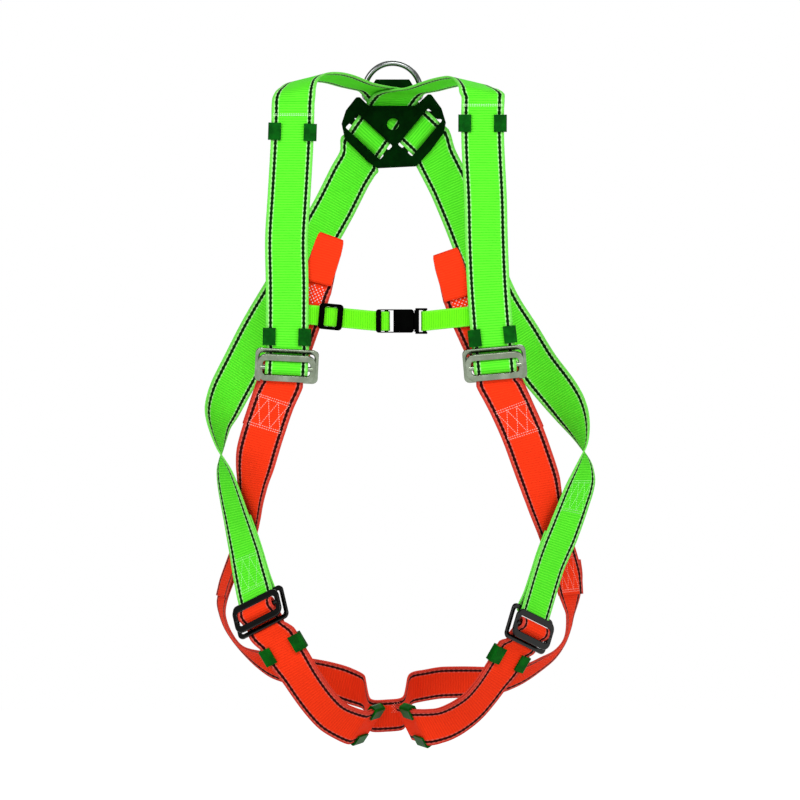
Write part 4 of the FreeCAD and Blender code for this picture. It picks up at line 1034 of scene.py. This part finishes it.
# Level scratches, 17 mm long and 1.1 mm apart: real ones are too fine to show.
SCRATCHES = (60.0, 60.0, 900.0)
POLISHED_BY = 0.07            # handling takes this off the roughness in places
DULLED_BY = 0.10              # and adds this in others


def hardware(name, colour, worn, roughness, grain, metallic=0.0, bump=0.12,
             scratches=0.0, specular=0.5):
    """A hard finish: colour and worn are the two ends of its drift, scratches their
    depth where the grain's is 1. Grain is the number of bumps in a metre, 0.7 to
    2 mm each, coarser than real ones so that they show. Specular is low where a
    lamp's reflection would turn a dark plastic grey."""
    material = new_material(name)
    tree = material.node_tree
    place = add(tree, "ShaderNodeTexCoord").outputs["Object"]
    patches = add(tree, "ShaderNodeTexNoise",
                  {"Vector": place, "Scale": HANDLED_PATCHES, "Detail": 4.0,
                   "Roughness": 0.6})
    fine = add(tree, "ShaderNodeTexNoise", {"Vector": place, "Scale": grain,
                                            "Detail": 3.0, "Roughness": 0.7})
    drift = add(tree, "ShaderNodeMapRange", {"Value": patches, "From Min": 0.42,
                                             "From Max": 0.72})
    tone = add(tree, "ShaderNodeMix", {"Factor": drift, "A": linear(colour),
                                       "B": linear(worn)}, data_type="RGBA")
    stretch = add(tree, "ShaderNodeMapping", {"Vector": place, "Scale": SCRATCHES})
    lines = add(tree, "ShaderNodeTexNoise", {"Vector": stretch, "Scale": 1.0,
                                             "Detail": 2.0})
    rough = add(tree, "ShaderNodeMapRange", {"Value": patches, "From Min": 0.3,
                                             "From Max": 0.7,
                                             "To Min": roughness - POLISHED_BY,
                                             "To Max": roughness + DULLED_BY})
    height = add(tree, "ShaderNodeMath", {0: lines, 1: scratches, 2: fine},
                 operation="MULTIPLY_ADD")
    dent = add(tree, "ShaderNodeBump", {"Height": height, "Strength": bump,
                                        "Distance": 0.15 * MM})
    shader = add(tree, "ShaderNodeBsdfPrincipled",
                 {"Base Color": tone.outputs["Result"], "Metallic": metallic,
                  "Roughness": rough, "Specular IOR Level": specular, "Normal": dent})
    add(tree, "ShaderNodeOutputMaterial", {"Surface": shader})
    return material


print("hard finishes vary in roughness by", POLISHED_BY + DULLED_BY)

# %% Finishes of the hardware
FINISHES = {
    # left as it comes from the press: soft reflections and fine scratches
    "dark_steel": hardware("bright_stamped_steel", "#707A69", "#8A9484", 0.15, 700.0,
                           metallic=1.0, scratches=0.6),
    # smooth and round: clear reflections, and a bright line along the wire
    "ring_steel": hardware("polished_forged_steel", "#7A7E7C", "#8E9290", 0.12, 500.0,
                           metallic=1.0, scratches=0.2, bump=0.05),
    # a deep green that is nearly black, dull from the grain of its mould
    "plate_plastic": hardware("moulded_dark_green_nylon", "#011C03", "#022805", 0.42,
                              1400.0, bump=0.15, specular=0.01),
    # smoother than nylon, so its edges catch a soft sheen
    "keeper_plastic": hardware("moulded_green_acetal", "#03440A", "#05600E", 0.34,
                               900.0, specular=0.04),
    # black all through, with dim highlights
    "black_plastic": hardware("moulded_black_acetal", "#010101", "#030403", 0.40,
                              1100.0, specular=0.01),
}
# a baked coat over the steel: black and glossy, with all scratches filled
LEG_FINISH = hardware("black_enamelled_steel", "#010201", "#050605", 0.14, 500.0,
                      bump=0.04, specular=0.22)
for item in frame["record"]["subparts"]:
    if item["material_slot"] in FINISHES:
        finish = FINISHES[item["material_slot"]]
        if item["node"].startswith("leg_"):
            finish = LEG_FINISH
        for slot in frame["nodes"][item["node"]].material_slots:
            slot.material = finish
print("finished", len(FINISHES), "hardware slots and the leg buckles")

# %% [markdown]
# A harness is held together by its stitching: boxes of zigzag where a strap is turned
# back on itself, dense tacks below the sternal loops, and two rows across each
# folded tail end. The thread stands proud of the webbing, so every stitch is
# modelled. There are hundreds of them and they differ only in place, which is work
# for Geometry Nodes: a seam is drawn as lines on the strap, the tree cuts them into
# equal steps and lays one small lens of thread on each.

# %% Geometry Nodes tree for a seam
STITCH = 2.3 * MM
THREAD_WIDTH = 0.8 * MM
THREAD_HEIGHT = 0.45 * MM
FILL = 0.82                   # share of a step that its thread covers
LENS_SEGMENTS = 8
LENS_RINGS = 5

seam_tree = bpy.data.node_groups.new("seam_of_stitches", "GeometryNodeTree")
SEAM_INPUTS = {}
for label, kind, default in (("Geometry", "NodeSocketGeometry", None),
                             ("Step", "NodeSocketFloat", STITCH),
                             ("Width", "NodeSocketFloat", THREAD_WIDTH),
                             ("Height", "NodeSocketFloat", THREAD_HEIGHT),
                             ("Thread", "NodeSocketMaterial", None)):
    socket = seam_tree.interface.new_socket(name=label, in_out="INPUT",
                                            socket_type=kind)
    if default is not None:
        socket.default_value = default
    SEAM_INPUTS[label] = socket.identifier
seam_tree.interface.new_socket(name="Geometry", in_out="OUTPUT",
                               socket_type="NodeSocketGeometry")
given = add(seam_tree, "NodeGroupInput")
lines = add(seam_tree, "GeometryNodeMeshToCurve", {"Mesh": given.outputs["Geometry"]})
steps = add(seam_tree, "GeometryNodeResampleCurve",
            {"Curve": lines, "Length": given.outputs["Step"]}, mode="LENGTH")
run = add(seam_tree, "GeometryNodeInputTangent")
facing = add(seam_tree, "GeometryNodeInputNamedAttribute", {"Name": "facing"},
             data_type="FLOAT_VECTOR")
along = add(seam_tree, "FunctionNodeAlignRotationToVector", {"Vector": run}, axis="X")
turned = add(seam_tree, "FunctionNodeAlignRotationToVector",
             {"Rotation": along, "Vector": facing}, axis="Z", pivot_axis="X")
reach = add(seam_tree, "ShaderNodeMath", {0: given.outputs["Step"], 1: FILL / 2},
            operation="MULTIPLY")
half_width, half_height = (
    add(seam_tree, "ShaderNodeMath", {0: given.outputs[label], 1: 0.5},
        operation="MULTIPLY") for label in ("Width", "Height"))
size = add(seam_tree, "ShaderNodeCombineXYZ", {0: reach, 1: half_width,
                                               2: half_height})
lens = add(seam_tree, "GeometryNodeMeshUVSphere",
           {"Segments": LENS_SEGMENTS, "Rings": LENS_RINGS, "Radius": 1.0})
laid = add(seam_tree, "GeometryNodeInstanceOnPoints",
           {"Points": steps, "Instance": lens, "Rotation": turned, "Scale": size})
real = add(seam_tree, "GeometryNodeRealizeInstances", {"Geometry": laid})
dyed = add(seam_tree, "GeometryNodeSetMaterial",
           {"Geometry": real, "Material": given.outputs["Thread"]})
add(seam_tree, "NodeGroupOutput", {0: dyed})
print("seam tree:", len(seam_tree.nodes), "nodes")


# %% Thread
def thread(name, colour):
    """Bonded polyester sewing thread: smoother and a little glossier than webbing."""
    material = new_material(name)
    tree = material.node_tree
    shader = add(tree, "ShaderNodeBsdfPrincipled",
                 {"Base Color": linear(colour), "Roughness": 0.6,
                  "Specular IOR Level": 0.2})
    add(tree, "ShaderNodeOutputMaterial", {"Surface": shader})
    return material


PINK_THREAD = thread("bonded_thread_pink", "#FFB3A6")
ROSE_THREAD = thread("bonded_thread_rose", "#F6CDD2")
RED_THREAD = thread("bonded_thread_red", "#FF9484")
GREEN_THREAD = thread("bonded_thread_green", "#A6FA8E")
WHITE_THREAD = thread("bonded_thread_white", "#D4FFC8")
print("stitches", STITCH / MM, "mm long in 5 colours of thread")

# %% [markdown]
# Seams are written in the strap's own measures, in millimetres: how far from its
# middle line, and how far along from its first end. A seam lies on the layer that
# faces out, so each has a side, +1 or -1, of the band.

# %% Sewing
THREAD_LIFT = 0.15            # of a thread's middle over the webbing
SEAM_POINT_PITCH = 3.0        # so that a seam follows the bend of its strap


def on_strap(name, u, s, face):
    """Point on a strap's surface and the direction it faces there."""
    strap = STRAPS[name]
    lengths, frames, normals = strap["lengths"], strap["frames"], strap["normals"]
    k = min(max(bisect_left(lengths, s) - 1, 0), len(lengths) - 2)
    t = (s - lengths[k]) / (lengths[k + 1] - lengths[k])
    point = frames[k][0].lerp(frames[k + 1][0], t)
    side = frames[k][1].lerp(frames[k + 1][1], t)
    normal = normals[k].lerp(normals[k + 1], t) * face
    lift = strap["thickness"] / 2 + THREAD_LIFT
    return (point + side * u + normal * lift) * MM, normal


def sew(name, strap, lines, face, material, slot, step=STITCH, width=THREAD_WIDTH):
    """Stitches along straight lines ((u, s), (u, s)) on a strap."""
    points, edges, facings = [], [], []
    for (u0, s0), (u1, s1) in lines:
        count = max(1, round(math.hypot(u1 - u0, s1 - s0) / SEAM_POINT_PITCH))
        for n in range(count + 1):
            t = n / count
            place, normal = on_strap(strap, u0 + (u1 - u0) * t, s0 + (s1 - s0) * t,
                                     face)
            if n:
                edges.append((len(points) - 1, len(points)))
            points.append(place)
            facings.extend(normal)
    mesh = bpy.data.meshes.new(name)
    mesh.from_pydata(points, edges, [])
    mesh.attributes.new("facing", "FLOAT_VECTOR", "POINT").data.foreach_set(
        "vector", facings)
    obj = put_in_scene(name, mesh)
    modifier = obj.modifiers.new("stitches", "NODES")
    modifier.node_group = seam_tree
    modifier[SEAM_INPUTS["Step"]] = step
    modifier[SEAM_INPUTS["Width"]] = width
    modifier[SEAM_INPUTS["Height"]] = THREAD_HEIGHT
    modifier[SEAM_INPUTS["Thread"]] = material
    shown = obj.evaluated_get(bpy.context.evaluated_depsgraph_get())
    stitched = bpy.data.meshes.new_from_object(shown)
    obj.modifiers.clear()
    obj.data = stitched
    faces = stitched.polygons
    faces.foreach_set("use_smooth", [True] * len(faces))
    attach(obj, HARNESS)
    print(name, len(faces) // (LENS_SEGMENTS * LENS_RINGS), "stitches")


print("seams are drawn with a point every", SEAM_POINT_PITCH, "mm")

# %% [markdown]
# Three patterns make all the seams: a box with crossing zigzags, which carries load
# both ways, a dense tack, and two plain rows that keep a folded tail from fraying.

# %% Patterns of seams
ROW_GAP = 2.4                 # between the two rows at each end of a box
ZIGZAG_RUNS = 3
TOOTH_PITCH = 4.4             # of a tack's zigzag
TAIL_ROW_GAP = 1.6


def box_of_zigzag(half, s0, s1):
    """Two rows at each end of a box and two crossing zigzags between them."""
    low, high = s0 + ROW_GAP, s1 - ROW_GAP
    lines = [((-half, s), (half, s)) for s in (s0, low, high, s1)]
    for start, end in ((low, high), (high, low)):
        for k in range(ZIGZAG_RUNS):
            u0 = -half + 2 * half * k / ZIGZAG_RUNS
            u1 = -half + 2 * half * (k + 1) / ZIGZAG_RUNS
            a, b = (start, end) if k % 2 == 0 else (end, start)
            lines.append(((u0, a), (u1, b)))
    return lines


def tack(u0, u1, s0, s1, rows):
    """Dense zigzag rows across a strap."""
    lines = []
    teeth = max(2, round((u1 - u0) / TOOTH_PITCH))
    for row in range(rows):
        low = s0 + (s1 - s0) * row / rows
        high = s0 + (s1 - s0) * (row + 1) / rows
        for k in range(teeth):
            a, b = u0 + (u1 - u0) * k / teeth, u0 + (u1 - u0) * (k + 1) / teeth
            lines.append(((a, low), (b, high)) if k % 2 else ((a, high), (b, low)))
    return lines


def tail_rows(half, s):
    """Two rows across a tail's end, the first of them at s."""
    return [((-half, at), (half, at)) for at in (s, s - TAIL_ROW_GAP)]


print("lines in a box:", len(box_of_zigzag(1, 0, 1)))

# %% Seams of the harness
TACK_THREAD = {"width": 1.1 * MM}      # the sternal tacks are sewn with heavier thread
SHORT_STITCH = {"step": 1.8 * MM}
for *seam, sizes in (                  # name, strap, lines, side, thread, slot
        ("seam_chest_left", "orange_chest_left", box_of_zigzag(16.5, 204, 237), 1,
         PINK_THREAD, "orange_webbing", {}),
        ("seam_chest_right", "orange_chest_right", box_of_zigzag(16.0, 191, 224), 1,
         PINK_THREAD, "orange_webbing", {}),
        ("seam_hip_right", "orange_chest_right", box_of_zigzag(15.0, 4, 44), 1,
         RED_THREAD, "orange_webbing", {}),
        ("tack_sternal_left", "orange_sternal_left", tack(-14, 15, 143, 161, 4), 1,
         ROSE_THREAD, "orange_webbing", TACK_THREAD),
        ("tack_sternal_right", "orange_sternal_right", tack(-14, 14, 146, 160, 3), 1,
         ROSE_THREAD, "orange_webbing", TACK_THREAD),
        ("seam_leg_left", "green_webbing_right", box_of_zigzag(15.5, 1342, 1378), 1,
         GREEN_THREAD, "green_webbing", {}),
        ("seam_leg_right", "green_webbing_left", box_of_zigzag(15.5, 1272, 1308), 1,
         GREEN_THREAD, "green_webbing", {}),
        ("seam_tail_left", "green_webbing_left", tail_rows(20, 14), -1,
         WHITE_THREAD, "green_webbing", {}),
        ("seam_tail_right", "green_webbing_right", tail_rows(20, 10), -1,
         WHITE_THREAD, "green_webbing", {}),
        ("tack_seat", "orange_seat", tack(5, 17, 314, 322, 3), 1, RED_THREAD,
         "orange_webbing", SHORT_STITCH)):
    sew(*seam, **sizes)
